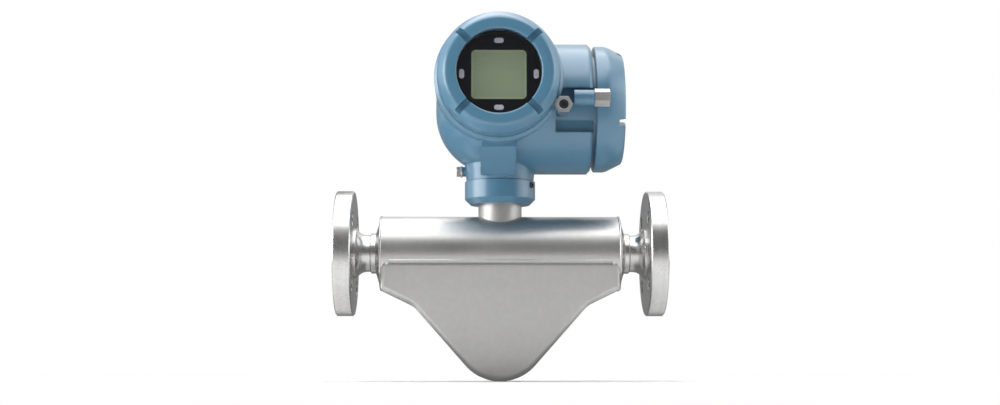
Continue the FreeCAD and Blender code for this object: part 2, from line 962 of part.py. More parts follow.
def clamp_screw(base, axis):
    """Socket screw sunk in the clamp and screwed into the boss."""
    top = base + axis * (clamp_clearance + clamp_length)
    seat = top - axis * (clamp_head_length - running)
    head = rod(clamp_head_diameter, seat, axis, clamp_head_length - running)
    shank = rod(clamp_screw_diameter, seat, -axis, clamp_screw_length)
    return joined([head, shank]).cut(hexagon(clamp_socket, top, -axis, clamp_socket - edge_break))


def display_clamp_inward():
    turn = math.radians(display_clamp_angle)
    return Vector(-math.cos(turn), 0, -math.sin(turn))


# Display and electronics


def display_plane(depth):
    """Point on the barrel's axis at a depth behind the display's front."""
    return barrel_centre - Y * (display_front - depth)


def display_bezel():
    """Moulded carrier with the window for the panel."""
    body = rod(bezel_diameter, display_plane(0), Y, bezel_thickness)
    body = body.makeFillet(edge_break, [body.Edges[0], body.Edges[2]])
    window = Part.makeBox(lcd_width, bezel_thickness, lcd_height)
    window.translate(display_plane(0) - Vector(lcd_width / 2, 0, lcd_height / 2))
    return body.cut(window)


def lcd_panel():
    panel = Part.makeBox(lcd_width - 2 * slip, bezel_thickness - lcd_depth, lcd_height - 2 * slip)
    corner = Vector(lcd_width / 2 - slip, 0, lcd_height / 2 - slip)
    panel.translate(display_plane(lcd_depth) - corner)
    return panel


def touch_pad(centre, across):
    half = (pad_length - pad_width) / 2
    ends = [centre - across * half, centre + across * half]
    side = across.cross(Y) * (pad_width / 2)
    strip = Part.Face(Part.makePolygon([
        ends[0] - side, ends[1] - side, ends[1] + side, ends[0] + side, ends[0] - side,
    ]))
    caps = [rod(pad_width, end, -Y, pad_thickness) for end in ends]
    return joined([strip.extrude(Y * -pad_thickness)] + caps)


def touch_pads():
    front = display_plane(0)
    return Part.makeCompound([
        touch_pad(front + Z * pad_circle_z, X),
        touch_pad(front - Z * pad_circle_z, X),
        touch_pad(front - X * pad_circle_x, Z),
        touch_pad(front + X * pad_circle_x, Z),
    ])


def display_board():
    return rod(bezel_diameter, display_plane(bezel_thickness), Y, board_thickness)


def circle_places(count, diameter, first):
    places = []
    for index in range(count):
        turn = math.radians(first + 360 * index / count)
        places.append(Vector(math.cos(turn), 0, math.sin(turn)) * (diameter / 2))
    return places


def display_standoffs():
    start = display_plane(bezel_thickness + board_thickness)
    posts = []
    for place in circle_places(standoff_count, standoff_circle, standoff_first):
        posts.append(rod(standoff_diameter, start + place, Y, standoff_length))
    return Part.makeCompound(posts)


def module_front():
    return display_plane(bezel_thickness + board_thickness + standoff_length)


def module_screw_places():
    return circle_places(module_screw_count, module_screw_circle, module_screw_first)


def electronics_module():
    """Potted electronics that stand on the compartment's floor."""
    length = (barrel_centre + Y * electronics_floor - module_front()).y
    body = rod(module_diameter, module_front(), Y, length)
    for place in module_screw_places():
        body = body.cut(rod(module_screw_diameter, module_front() + place, Y, length))
        body = body.cut(rod(module_screw_head, module_front() + place, Y, module_screw_depth))
    return body


def module_screws():
    length = (barrel_centre + Y * electronics_floor - module_front()).y
    screws = []
    for place in module_screw_places():
        start = module_front() + place
        head = rod(module_screw_head, start, Y, module_screw_depth)
        shank = rod(module_screw_diameter, start, Y, length + module_screw_thread)
        screws.append(joined([head, shank]))
    return Part.makeCompound(screws)


# Terminals and cable entries


def terminal_block():
    """Row of terminals with a wire mouth under each screw."""
    half = terminal_count * terminal_pitch / 2
    base = drum_centre + X * wiring_floor
    body = block(
        base + Vector(0, -half, -terminal_height / 2),
        base + Vector(terminal_depth, half, terminal_height / 2),
    )
    step = block(
        base + Vector(terminal_depth - terminal_base, -half, -terminal_height / 2),
        base + Vector(terminal_depth, half, terminal_step - terminal_height / 2),
    )
    body = body.cut(step)
    for place in terminal_places():
        body = body.cut(rod(terminal_screw_diameter, place, -X, terminal_base))
    return body


def terminal_places():
    front = drum_centre + X * (wiring_floor + terminal_depth)
    first = -(terminal_count - 1) * terminal_pitch / 2
    places = []
    for index in range(terminal_count):
        places.append(front + Y * (first + index * terminal_pitch))
    return places


def terminal_screws():
    screws = []
    for place in terminal_places():
        top = place + X * terminal_screw_proud
        screw = rod(terminal_screw_diameter, top, -X, terminal_base + terminal_screw_proud)
        slot = block(
            top - Vector(edge_break, terminal_screw_diameter, edge_break / 2),
            top + Vector(0, terminal_screw_diameter, edge_break / 2),
        )
        screws.append(screw.cut(slot))
    return Part.makeCompound(screws)


def conduit_plugs():
    plugs = []
    for place in conduit_axes():
        face = place + Y * conduit_reach
        head = hexagon(plug_hex, face, Y, plug_head)
        thread = rod(conduit_bore, face, -Y, plug_thread)
        socket = hexagon(plug_socket, face + Y * plug_head, -Y, plug_head)
        plugs.append(joined([head, thread]).cut(socket))
    return Part.makeCompound(plugs)


def ground_face():
    return Vector(centre_x - ground_boss_reach, 0, ground_boss_z)


def ground_washer_ring():
    return ring(ground_washer_diameter, ground_thread_diameter, ground_face(), -X, ground_washer)


def ground_screw():
    seat = ground_face() - X * ground_washer
    head = hexagon(ground_hex, seat, -X, ground_head)
    return joined([head, rod(ground_thread_diameter, seat, X, ground_thread_length + ground_washer)])


def build():
    belly_outer = belly_solid(0)
    belly_hollow = belly_solid(case_wall)
    inlet_flange = flange()
    inlet_manifold = manifold()
    inlet_brace = brace()
    inlet_cap = end_cap()
    pickoff_place, pickoff_inward = leg_frame(pickoff_fraction)
    drive_place, drive_inward = drive_frame()
    outlet_coil = coil(pickoff_place, pickoff_inward)
    outlet_magnet = magnet(pickoff_place, pickoff_inward)
    return {
        "inlet_flange": inlet_flange,
        "outlet_flange": mirrored(inlet_flange),
        "inlet_manifold": inlet_manifold,
        "outlet_manifold": mirrored(inlet_manifold),
        "flow_tube_front": flow_tube(-1),
        "flow_tube_rear": flow_tube(1),
        "inlet_brace_plate": inlet_brace,
        "outlet_brace_plate": mirrored(inlet_brace),
        "drive_coil": coil(drive_place, drive_inward),
        "drive_magnet": magnet(drive_place, drive_inward),
        "outlet_pickoff_coil": outlet_coil,
        "outlet_pickoff_magnet": outlet_magnet,
        "inlet_pickoff_coil": mirrored(outlet_coil),
        "inlet_pickoff_magnet": mirrored(outlet_magnet),
        "temperature_sensor": temperature_sensor(),
        "case_tube": case_tube(belly_hollow),
        "case_belly_front": case_belly(-1, belly_outer, belly_hollow),
        "case_belly_rear": case_belly(1, belly_outer, belly_hollow),
        "inlet_end_cap": inlet_cap,
        "outlet_end_cap": mirrored(inlet_cap),
        "sensor_neck": sensor_neck(),
        "feedthrough_disc": feedthrough_disc(),
        "feedthrough_pins": feedthrough_pins(),
        "base_collar": base_collar(),
        "collar_screws": collar_screws(),
        "swivel_oring": swivel_oring(),
        "transmitter_housing": housing(),
        "bulkhead_plug": bulkhead_plug(),
        "display_cover": display_cover(),
        "window_glass": window_glass(),
        "window_retainer": window_retainer(),
        "display_cover_seal": cover_seal(display_cover_base, -Y, display_land),
        "wiring_cover": wiring_cover(),
        "wiring_cover_seal": cover_seal(wiring_cover_base, X, wiring_land),
        "display_clamp": clamp(display_clamp_centre(), -Y, display_clamp_inward(), display_gap),
        "display_clamp_screw": clamp_screw(display_clamp_centre(), -Y),
        "wiring_clamp": clamp(wiring_clamp_centre(), X, Y, wiring_gap),
        "wiring_clamp_screw": clamp_screw(wiring_clamp_centre(), X),
        "display_bezel": display_bezel(),
        "lcd_panel": lcd_panel(),
        "touch_pads": touch_pads(),
        "display_board": display_board(),
        "display_standoffs": display_standoffs(),
        "electronics_module": electronics_module(),
        "module_screws": module_screws(),
        "terminal_block": terminal_block(),
        "terminal_screws": terminal_screws(),
        "conduit_plugs": conduit_plugs(),
        "ground_washer": ground_washer_ring(),
        "ground_screw": ground_screw(),
    }


os.makedirs("parts", exist_ok=True)
for name, shape in build().items():
    shape.exportStep(f"parts/{name}.step")
    print(name, len(shape.Solids), round(shape.Volume), shape.isValid())
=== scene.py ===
import json
import math

import bmesh
import bpy
from mathutils import Matrix, Vector


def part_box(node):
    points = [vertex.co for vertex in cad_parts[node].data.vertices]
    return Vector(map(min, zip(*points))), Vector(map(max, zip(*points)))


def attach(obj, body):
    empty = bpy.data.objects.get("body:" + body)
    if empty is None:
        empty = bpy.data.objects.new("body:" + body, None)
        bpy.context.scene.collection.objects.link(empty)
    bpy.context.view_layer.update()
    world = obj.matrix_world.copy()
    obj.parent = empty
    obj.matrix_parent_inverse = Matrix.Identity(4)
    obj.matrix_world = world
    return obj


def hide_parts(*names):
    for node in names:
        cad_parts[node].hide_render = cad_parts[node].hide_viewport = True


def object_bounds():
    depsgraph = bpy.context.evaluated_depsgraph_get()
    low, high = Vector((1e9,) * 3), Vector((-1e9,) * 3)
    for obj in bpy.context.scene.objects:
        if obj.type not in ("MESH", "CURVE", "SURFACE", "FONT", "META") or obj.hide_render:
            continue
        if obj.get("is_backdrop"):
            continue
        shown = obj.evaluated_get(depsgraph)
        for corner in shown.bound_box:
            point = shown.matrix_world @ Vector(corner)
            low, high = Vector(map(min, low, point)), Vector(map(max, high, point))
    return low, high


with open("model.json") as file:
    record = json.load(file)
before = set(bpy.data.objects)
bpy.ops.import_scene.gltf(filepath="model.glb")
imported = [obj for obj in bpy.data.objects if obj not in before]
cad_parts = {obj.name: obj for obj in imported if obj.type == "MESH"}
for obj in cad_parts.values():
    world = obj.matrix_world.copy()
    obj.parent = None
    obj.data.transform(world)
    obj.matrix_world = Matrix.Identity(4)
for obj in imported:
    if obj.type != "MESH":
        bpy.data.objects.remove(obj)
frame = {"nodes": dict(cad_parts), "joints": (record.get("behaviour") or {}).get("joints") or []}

bl_info = {
    "name": "Coriolis Flow Meter Finish",
    "version": (1, 0, 0),
    "blender": (4, 5, 0),
    "location": "View3D > Sidebar > Flow Meter",
    "description": "Covers, welds, finishes and studio for the flow meter's frame",
    "category": "Object",
}

IMAGE_WIDTH = 1000
IMAGE_HEIGHT = 405
MM = 0.001

CASE_LOW, CASE_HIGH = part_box("case_tube")
CASE_CENTRE = (CASE_LOW + CASE_HIGH) / 2
CASE_RADIUS = (CASE_HIGH.z - CASE_LOW.z) / 2
DISPLAY_LOW, DISPLAY_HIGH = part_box("display_cover")
DISPLAY_CENTRE = (DISPLAY_LOW + DISPLAY_HIGH) / 2
WIRING_LOW, WIRING_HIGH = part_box("wiring_cover")
WIRING_CENTRE = (WIRING_LOW + WIRING_HIGH) / 2
CAP_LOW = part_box("inlet_end_cap")[0]
LCD_LOW, LCD_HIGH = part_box("lcd_panel")
FLOOR_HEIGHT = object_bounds()[0].z
PIPE_RADIUS = 16.85 * MM

# The clamps swing on the housing's faces, from which the covers' threaded necks stand out
JOINTS = {joint["name"]: joint for joint in frame["joints"]}
BARREL_FRONT = JOINTS["display_clamp_swing"]["pos_m"][1]
DRUM_END = JOINTS["wiring_clamp_swing"]["pos_m"][0]
THREAD_RADIUS = 50 * MM
THREAD_START = 3.0 * MM
THREAD_DEPTH = 1.6 * MM

# Half sections of the covers in mm: radius, height above the open end, rounding of the corner
DISPLAY_SECTION = (
    (50.1, 0, 0), (53.4, 0, 0.4), (54.5, 1.1, 0.4), (54.5, 20, 2.5), (48, 30, 2.2),
    (38.5, 30, 0.9), (37.5, 29, 0.4), (37.5, 23, 0), (41.05, 23, 0), (41.05, 17, 0),
    (43.05, 17, 0), (43.05, 14, 0), (50.1, 14, 0),
)
WIRING_SECTION = (
    (50.1, 0, 0), (57.4, 0, 0.4), (58.5, 1.1, 0.4), (58.5, 11, 2.5), (50.5, 27, 2.2),
    (38.5, 27, 0.9), (37.5, 26, 0.4), (37.5, 20, 1), (0, 20, 0), (0, 13, 0), (50.1, 13, 0),
)
COVER_STEPS = 144
SLOT_WIDTH = 6 * MM
SLOT_DEPTH = 6 * MM
DISPLAY_SLOT_ANGLE = math.radians(45)
WIRING_SLOT_ANGLE = math.radians(22)
BEAD_SEGMENTS = 10
BEAD_STEPS = 180
SHARP_EDGE = math.radians(32)
SAME_POINT = 0.001 * MM
ON_PLANE = 0.01 * MM

WHITE = (1, 1, 1, 1)
BARE_ALUMINIUM = (0.52, 0.52, 0.51, 1)
STEEL_RELIEF = 0.006  # depth of the grain over its size
LATHE_DEPTH = 0.003 * MM

# Where a mirrored ray finds the walls dark, by its direction: start and end of the fade, and
# the darkness at each
ROOM_TILT = 0.6
ROOM_FADE = (0.02, 0.34)
BACK_FADE = (0.5, 0.82, 0.0, 0.85)

# The floor, in metres from the case's middle: where it turns white to the eye, and where a
# mirrored ray finds it painted grey, as painted shade in front and behind and painted shadow under
# the belly, in the same order
FLOOR_HALF_WIDTH = 6
FLOOR_GAP = 0.1 * MM
FLOOR_FADE = (0.22, 0.8)
FRONT_FLOOR = (-0.30, -0.75, 0.0, 0.6)
BACK_FLOOR = (-0.03, 0.12, 0.0, 0.95)
BELLY_SHADOW_FLOOR = (-0.14, -0.04, 0.0, 0.95)
BELLY_SIDES = (0.15, 0.11)
LAMP_TARGET_HEIGHT = 0.05


class MeterColours(bpy.types.PropertyGroup):
    paint: bpy.props.FloatVectorProperty(
        name="Paint", description="Powder coat on the transmitter",
        subtype="COLOR", size=4, min=0, max=1, default=(0.068, 0.20, 0.315, 1))
    steel: bpy.props.FloatVectorProperty(
        name="Steel", description="Satin steel of the sensor case",
        subtype="COLOR", size=4, min=0, max=1, default=(0.60, 0.595, 0.585, 1))
    turned_steel: bpy.props.FloatVectorProperty(
        name="Turned steel", description="Machined steel of flanges and clamps",
        subtype="COLOR", size=4, min=0, max=1, default=(0.64, 0.635, 0.625, 1))
    display: bpy.props.FloatVectorProperty(
        name="Display", description="Unlit liquid crystal panel",
        subtype="COLOR", size=4, min=0, max=1, default=(0.40, 0.49, 0.315, 1))
    pads: bpy.props.FloatVectorProperty(
        name="Touch pads", description="Printed touch pads round the display",
        subtype="COLOR", size=4, min=0, max=1, default=(0.88, 0.85, 1.0, 1))


class MeterSizes(bpy.types.PropertyGroup):
    edge_round: bpy.props.FloatProperty(
        name="Edge rounding", description="Radius on the edges of the turned pieces",
        unit="LENGTH", subtype="DISTANCE", min=0, default=0.6 * MM)
    cast_round: bpy.props.FloatProperty(
        name="Cast rounding", description="Radius on the edges of the painted casting",
        unit="LENGTH", subtype="DISTANCE", min=0, default=2.5 * MM)
    weld_width: bpy.props.FloatProperty(
        name="Weld bead", description="Radius of the weld beads",
        unit="LENGTH", subtype="DISTANCE", min=0, default=1.1 * MM)
    thread_pitch: bpy.props.FloatProperty(
        name="Thread pitch", description="Travel of a cover in one turn",
        unit="LENGTH", subtype="DISTANCE", min=0, default=2.0 * MM)


class MeterStudio(bpy.types.PropertyGroup):
    camera_distance: bpy.props.FloatProperty(
        name="Camera distance", description="Camera to the meter's centre plane",
        unit="LENGTH", subtype="DISTANCE", min=0.1, default=1.45)
    camera_height: bpy.props.FloatProperty(
        name="Camera height", description="Camera height above the pipe axis",
        unit="LENGTH", subtype="DISTANCE", default=-0.10)
    camera_side: bpy.props.FloatProperty(
        name="Camera side", description="Camera position along the pipe",
        unit="LENGTH", subtype="DISTANCE", default=0.132)
    frame_height: bpy.props.FloatProperty(
        name="Frame height", description="Height that the picture shows at the meter",
        unit="LENGTH", subtype="DISTANCE", min=0.1, default=0.375)
    room_grey: bpy.props.FloatProperty(
        name="Room grey", description="Level of the room round the meter, as steel mirrors it",
        min=0, max=1, default=0.15)
    ambient: bpy.props.FloatProperty(
        name="Ambient", description="Even light from the studio's walls",
        min=0, max=2, default=0.42)
    overhead_power: bpy.props.FloatProperty(
        name="Overhead lamp", description="Power of the softbox above",
        unit="POWER", min=0, default=24)
    side_power: bpy.props.FloatProperty(
        name="Side lamp", description="Power of the left softbox, four times the right one's",
        unit="POWER", min=0, default=34)
    fill_power: bpy.props.FloatProperty(
        name="Front lamp", description="Power of the softbox in front, half of the rear one's",
        unit="POWER", min=0, default=1.2)


# Node building


def wire(tree, node, inputs):
    """Links a node's sockets to outputs, or sets them to values."""
    for key, value in inputs.items():
        if isinstance(value, bpy.types.NodeSocket):
            tree.links.new(value, node.inputs[key])
        else:
            node.inputs[key].default_value = value


def add(tree, kind, inputs=None, **settings):
    """A new node with its settings, and its sockets set to values or linked to outputs."""
    node = tree.nodes.new(kind)
    for key, value in settings.items():
        setattr(node, key, value)
    wire(tree, node, inputs or {})
    return node


def maths(tree, operation, first, second=0.0, clamp=False):
    node = add(tree, "ShaderNodeMath", {0: first, 1: second}, operation=operation, use_clamp=clamp)
    return node.outputs[0]


def ramp(tree, value, low, high, to_low=0.0, to_high=1.0):
    """Value between low and high, smoothly spread from to_low to to_high."""
    node = add(tree, "ShaderNodeMapRange", {
        "Value": value, "From Min": low, "From Max": high, "To Min": to_low, "To Max": to_high,
    }, interpolation_type="SMOOTHSTEP")
    return node.outputs[0]


def vary(tree, mask, low, high):
    """Smooth change from low to high as the mask goes from 0 to 1."""
    return ramp(tree, mask, 0.0, 1.0, low, high)


def blend_colours(tree, factor, first, second):
    """First colour where the factor is 0, second where it is 1."""
    # A mix node has sockets for every kind of data: those of colours are 6 and 7, and output 2
    node = add(tree, "ShaderNodeMix", {0: factor, 6: first, 7: second}, data_type="RGBA")
    return node.outputs[2]


def new_group(name, inputs, outputs):
    """Node group with named sockets, given as (name, kind, default) and (name, kind)."""
    tree = bpy.data.node_groups.new(name, "ShaderNodeTree")
    for label, kind, value in inputs:
        socket = tree.interface.new_socket(label, in_out="INPUT", socket_type=kind)
        if value is not None:
            socket.default_value = value
    for label, kind in outputs:
        tree.interface.new_socket(label, in_out="OUTPUT", socket_type=kind)
    return tree, add(tree, "NodeGroupInput").outputs, add(tree, "NodeGroupOutput").inputs


def make_grain():
    """Fine grain of blasted, cast or moulded surfaces, with broad pale spots."""
    tree, given, result = new_group("Surface Grain", [
        ("Position", "NodeSocketVector", None),
        ("Grain Size", "NodeSocketFloat", 0.5 * MM),
    ], [("Height", "NodeSocketFloat"), ("Spots", "NodeSocketFloat")])
    scale = maths(tree, "DIVIDE", 1.0, given["Grain Size"])
    fine = add(tree, "ShaderNodeTexNoise", {
        "Vector": given["Position"], "Scale": scale, "Detail": 3.0, "Roughness": 0.6,
    })
    grains_per_spot = 16.0
    broad_scale = maths(tree, "DIVIDE", scale, grains_per_spot)
    broad = add(tree, "ShaderNodeTexNoise", {
        "Vector": given["Position"], "Scale": broad_scale, "Detail": 4.0, "Roughness": 0.55,
    })
    tree.links.new(fine.outputs[0], result["Height"])
    tree.links.new(ramp(tree, broad.outputs[0], 0.35, 0.68), result["Spots"])
    return tree


def make_lathe_marks():
    """Rings that a lathe leaves round the X axis of the position it is given."""
    tree, given, result = new_group("Lathe Marks", [
        ("Position", "NodeSocketVector", None),
        ("Spacing", "NodeSocketFloat", 0.4 * MM),
    ], [("Height", "NodeSocketFloat"), ("Bands", "NodeSocketFloat")])
    parts = add(tree, "ShaderNodeSeparateXYZ", {0: given["Position"]}).outputs
    across = add(tree, "ShaderNodeCombineXYZ", {"Y": parts["Y"], "Z": parts["Z"]})
    radius = add(tree, "ShaderNodeVectorMath", {0: across.outputs[0]}, operation="LENGTH")
    along = maths(tree, "ADD", radius.outputs["Value"], parts["X"])
    marks = maths(tree, "DIVIDE", along, given["Spacing"])
    fine = add(tree, "ShaderNodeTexNoise", {
        "W": marks, "Scale": 1.0, "Detail": 2.0,
    }, noise_dimensions="1D")
    marks_per_band = 14.0
    bands = add(tree, "ShaderNodeTexNoise", {
        "W": maths(tree, "DIVIDE", marks, marks_per_band), "Scale": 1.0, "Detail": 1.0,
    }, noise_dimensions="1D")
    tree.links.new(fine.outputs[0], result["Height"])
    tree.links.new(ramp(tree, bands.outputs[0], 0.3, 0.7), result["Bands"])
    return tree


def make_edge_wear():
    """Rounds the shading of edges and masks where hands and tools have rubbed them."""
    tree, given, result = new_group("Edge Wear", [
        ("Position", "NodeSocketVector", None),
        ("Rounding", "NodeSocketFloat", 0.5 * MM),
        ("Wear", "NodeSocketFloat", 0.5),
    ], [("Normal", "NodeSocketVector"), ("Mask", "NodeSocketFloat")])
    rounded = add(tree, "ShaderNodeBevel", {"Radius": given["Rounding"]}, samples=4)
    surface = add(tree, "ShaderNodeNewGeometry")
    # Cosine between the true and the rounded normal: 1 on a flat face, less towards an edge
    bend = add(tree, "ShaderNodeVectorMath", {
        0: rounded.outputs[0], 1: surface.outputs["Normal"],
    }, operation="DOT_PRODUCT")
    edge = ramp(tree, bend.outputs["Value"], 0.97, 0.80)
    patches = add(tree, "ShaderNodeTexNoise", {
        "Vector": given["Position"], "Scale": 160.0, "Detail": 4.0, "Roughness": 0.7,
    })
    rubbed = maths(tree, "MULTIPLY", edge, ramp(tree, patches.outputs[0], 0.46, 0.62))
    tree.links.new(rounded.outputs[0], result["Normal"])
    tree.links.new(maths(tree, "MULTIPLY", rubbed, given["Wear"], True), result["Mask"])
    return tree


def make_handling():
    """Faint smears left by handling, drawn out along the pipe."""
    tree, given, result = new_group("Handling Marks", [
        ("Position", "NodeSocketVector", None),
        ("Smear Size", "NodeSocketFloat", 20 * MM),
    ], [("Smears", "NodeSocketFloat")])
    scale = maths(tree, "DIVIDE", 1.0, given["Smear Size"])
    drawn = add(tree, "ShaderNodeMapping", {"Vector": given["Position"], "Scale": (0.5, 1.2, 1.2)})
    cloud = add(tree, "ShaderNodeTexNoise", {
        "Vector": drawn.outputs[0], "Scale": scale,
        "Detail": 5.0, "Roughness": 0.62, "Distortion": 0.6,
    })
    tree.links.new(ramp(tree, cloud.outputs[0], 0.3, 0.7), result["Smears"])
    return tree


def make_dust():
    """Thin dust that settles on what faces up."""
    tree, given, result = new_group("Settled Dust", [
        ("Position", "NodeSocketVector", None),
        ("Amount", "NodeSocketFloat", 0.1),
    ], [("Mask", "NodeSocketFloat")])
    surface = add(tree, "ShaderNodeNewGeometry")
    parts = add(tree, "ShaderNodeSeparateXYZ", {0: surface.outputs["Normal"]})
    up = ramp(tree, parts.outputs["Z"], 0.35, 1.0)
    specks = add(tree, "ShaderNodeTexNoise", {
        "Vector": given["Position"], "Scale": 900.0, "Detail": 5.0, "Roughness": 0.75,
    })
    lying = maths(tree, "MULTIPLY", up, ramp(tree, specks.outputs[0], 0.42, 0.7))
    tree.links.new(maths(tree, "MULTIPLY", lying, given["Amount"], True), result["Mask"])
    return tree


GROUP_MAKERS = {
    "Surface Grain": make_grain,
    "Lathe Marks": make_lathe_marks,
    "Edge Wear": make_edge_wear,
    "Handling Marks": make_handling,
    "Settled Dust": make_dust,
}


def effect(tree, name, position, **values):
    """Places a shared effect in a material with its own values."""
    if name not in bpy.data.node_groups:
        GROUP_MAKERS[name]()
    node = add(tree, "ShaderNodeGroup", node_tree=bpy.data.node_groups[name])
    tree.links.new(position, node.inputs["Position"])
    for key, value in values.items():
        node.inputs[key.replace("_", " ")].default_value = value
    return node.outputs


# Finishes


def blank_material(name):
    """Material with an unlinked Principled shader, and the position on the piece."""
    material = bpy.data.materials.new(name)
    material.use_nodes = True
    tree = material.node_tree
    tree.nodes.clear()
    output = add(tree, "ShaderNodeOutputMaterial")
    shader = add(tree, "ShaderNodeBsdfPrincipled")
    tree.links.new(shader.outputs[0], output.inputs["Surface"])
    return material, tree, shader, add(tree, "ShaderNodeTexCoord").outputs["Object"]


def bump(tree, height, depth, normal):
    node = add(tree, "ShaderNodeBump", {
        "Height": height, "Strength": 1.0, "Distance": depth, "Normal": normal,
    })
    return node.outputs[0]


def shade(colour, level):
    return (colour[0] * level, colour[1] * level, colour[2] * level, 1)


def neutral(level):
    return (level, level, level, 1)


def tint(tree, tone, mask, strength, colour):
    """Tone with a colour laid over it where the mask is, at some strength."""
    return blend_colours(tree, maths(tree, "MULTIPLY", mask, strength), tone, colour)


def steel_finish(name, colour, roughness, grain, rounding=0.4 * MM, wear=0.3,
                 marks_at=None, spacing=0.5 * MM, turn=(0, 0, 0)):
    """Stainless steel, blasted or turned, with smears and paler rubbed edges."""
    material, tree, shader, position = blank_material(name)
    grains = effect(tree, "Surface Grain", position, Grain_Size=grain)
    smears = effect(tree, "Handling Marks", position, Smear_Size=24 * MM)
    worn = effect(tree, "Edge Wear", position, Rounding=rounding, Wear=wear)
    normal = bump(tree, grains["Height"], grain * STEEL_RELIEF, worn["Normal"])
    tone = blend_colours(tree, grains["Spots"], shade(colour, 0.95), colour)
    rough = vary(tree, smears["Smears"], roughness * 0.9, roughness * 1.1)
    if marks_at is not None:
        centred = add(tree, "ShaderNodeMapping", {
            "Vector": position, "Location": marks_at, "Rotation": turn,
        })
        rings = effect(tree, "Lathe Marks", centred.outputs[0], Spacing=spacing)
        normal = bump(tree, rings["Height"], LATHE_DEPTH, normal)
        tone = tint(tree, tone, rings["Bands"], 0.25, shade(colour, 0.78))
    tone = blend_colours(tree, worn["Mask"], tone, shade(colour, 1.25))
    wire(tree, shader, {
        "Base Color": tone, "Roughness": rough, "Normal": normal, "Metallic": 1.0,
    })
    return material


def case_finish(name, colour, roughness):
    """Blasted steel of the case, with the rippled weld that joins the two half shells."""
    material, tree, shader, position = blank_material(name)
    grains = effect(tree, "Surface Grain", position, Grain_Size=0.35 * MM)
    smears = effect(tree, "Handling Marks", position, Smear_Size=45 * MM)
    worn = effect(tree, "Edge Wear", position, Rounding=1.2 * MM, Wear=0.12)
    parts = add(tree, "ShaderNodeSeparateXYZ", {0: position}).outputs
    on_seam = ramp(tree, maths(tree, "ABSOLUTE", parts["Y"]), 1.8 * MM, 0.8 * MM)
    below_tube = ramp(tree, parts["Z"], CASE_LOW.z + 1 * MM, CASE_LOW.z - 1 * MM)
    seam = maths(tree, "MULTIPLY", on_seam, below_tube)
    ripples = add(tree, "ShaderNodeTexWave", {
        "Vector": position, "Scale": 1 / (9 * MM), "Distortion": 1.5, "Detail": 1.0,
    }, bands_direction="DIAGONAL")
    bead_crown = 1.5
    bead = maths(tree, "MULTIPLY", seam, maths(tree, "ADD", ripples.outputs["Fac"], bead_crown))
    normal = bump(tree, grains["Height"], 0.010 * MM, worn["Normal"])
    tone = blend_colours(tree, grains["Spots"], shade(colour, 0.96), colour)
    wire(tree, shader, {
        "Base Color": tint(tree, tone, seam, 0.5, shade(colour, 0.8)),
        "Roughness": vary(tree, smears["Smears"], roughness * 0.93, roughness * 1.07),
        "Normal": bump(tree, bead, 0.25 * MM, normal),
        "Metallic": 1.0,
    })
    return material


def neck_threads(tree, position, centre, axis, start, pitch):
    """Mask of a cover's threaded neck and the height of its ridges."""
    centred = add(tree, "ShaderNodeMapping", {"Vector": position, "Location": -centre}).outputs[0]
    parts = add(tree, "ShaderNodeSeparateXYZ", {0: centred}).outputs
    flat = add(tree, "ShaderNodeVectorMath", {
        0: centred, 1: Vector((1, 1, 1)) - Vector([abs(value) for value in axis]),
    }, operation="MULTIPLY")
    radius = add(tree, "ShaderNodeVectorMath", {0: flat.outputs[0]}, operation="LENGTH")
    along = add(tree, "ShaderNodeVectorMath", {0: centred, 1: axis}, operation="DOT_PRODUCT")
    along = along.outputs["Value"]
    depth = maths(tree, "SUBTRACT", radius.outputs["Value"], THREAD_RADIUS)
    on_wall = ramp(tree, maths(tree, "ABSOLUTE", depth), 0.8 * MM, 0.4 * MM)
    outside = ramp(tree, along, start + THREAD_START, start + THREAD_START + 0.4 * MM)
    angle = maths(tree, "ARCTAN2", parts["Z"], parts["Y"] if axis.x else parts["X"])
    turns = maths(tree, "ADD", maths(tree, "DIVIDE", along, pitch),
                  maths(tree, "DIVIDE", angle, math.tau))
    ridges = maths(tree, "ABSOLUTE", maths(tree, "SUBTRACT", maths(tree, "FRACT", turns), 0.5))
    return maths(tree, "MULTIPLY", on_wall, outside), ridges


def paint_finish(name, colour, rounding, pitch=0.0):
    """Powder coat over cast aluminium, with orange peel and dust, bare on threaded necks."""
    material, tree, shader, position = blank_material(name)
    peel = effect(tree, "Surface Grain", position, Grain_Size=1.5 * MM)
    smears = effect(tree, "Handling Marks", position, Smear_Size=30 * MM)
    worn = effect(tree, "Edge Wear", position, Rounding=rounding, Wear=0.35)
    dust = effect(tree, "Settled Dust", position, Amount=0.10)
    normal = bump(tree, peel["Height"], 0.05 * MM, worn["Normal"])
    tone = tint(tree, colour, smears["Smears"], 0.5, shade(colour, 0.86))
    tone = blend_colours(tree, worn["Mask"], tone, shade(colour, 1.7))
    tone = blend_colours(tree, dust["Mask"], tone, (0.62, 0.62, 0.60, 1))
    if pitch:
        necks = (
            (DISPLAY_CENTRE, Vector((0, -1, 0)), DISPLAY_CENTRE.y - BARREL_FRONT),
            (WIRING_CENTRE, Vector((1, 0, 0)), DRUM_END - WIRING_CENTRE.x),
        )
        for centre, axis, start in necks:
            mask, ridges = neck_threads(tree, position, centre, axis, start, pitch)
            tone = blend_colours(tree, mask, tone, BARE_ALUMINIUM)
            normal = bump(tree, maths(tree, "MULTIPLY", mask, ridges), THREAD_DEPTH, normal)
    wire(tree, shader, {
        "Base Color": tone,
        "Roughness": vary(tree, smears["Smears"], 0.30, 0.42),
        "Normal": normal,
        "Specular IOR Level": 0.6,
        "Coat Weight": 0.8,
        "Coat Roughness": 0.28,
    })
    return material


def turned_paint(context):
    """Crisp-edged powder coat that the collar and the covers share."""
    name = "turned_powder_coat"
    if name in bpy.data.materials:
        return bpy.data.materials[name]
    return paint_finish(name, tuple(context.scene.meter_colours.paint),
                        context.scene.meter_sizes.edge_round)


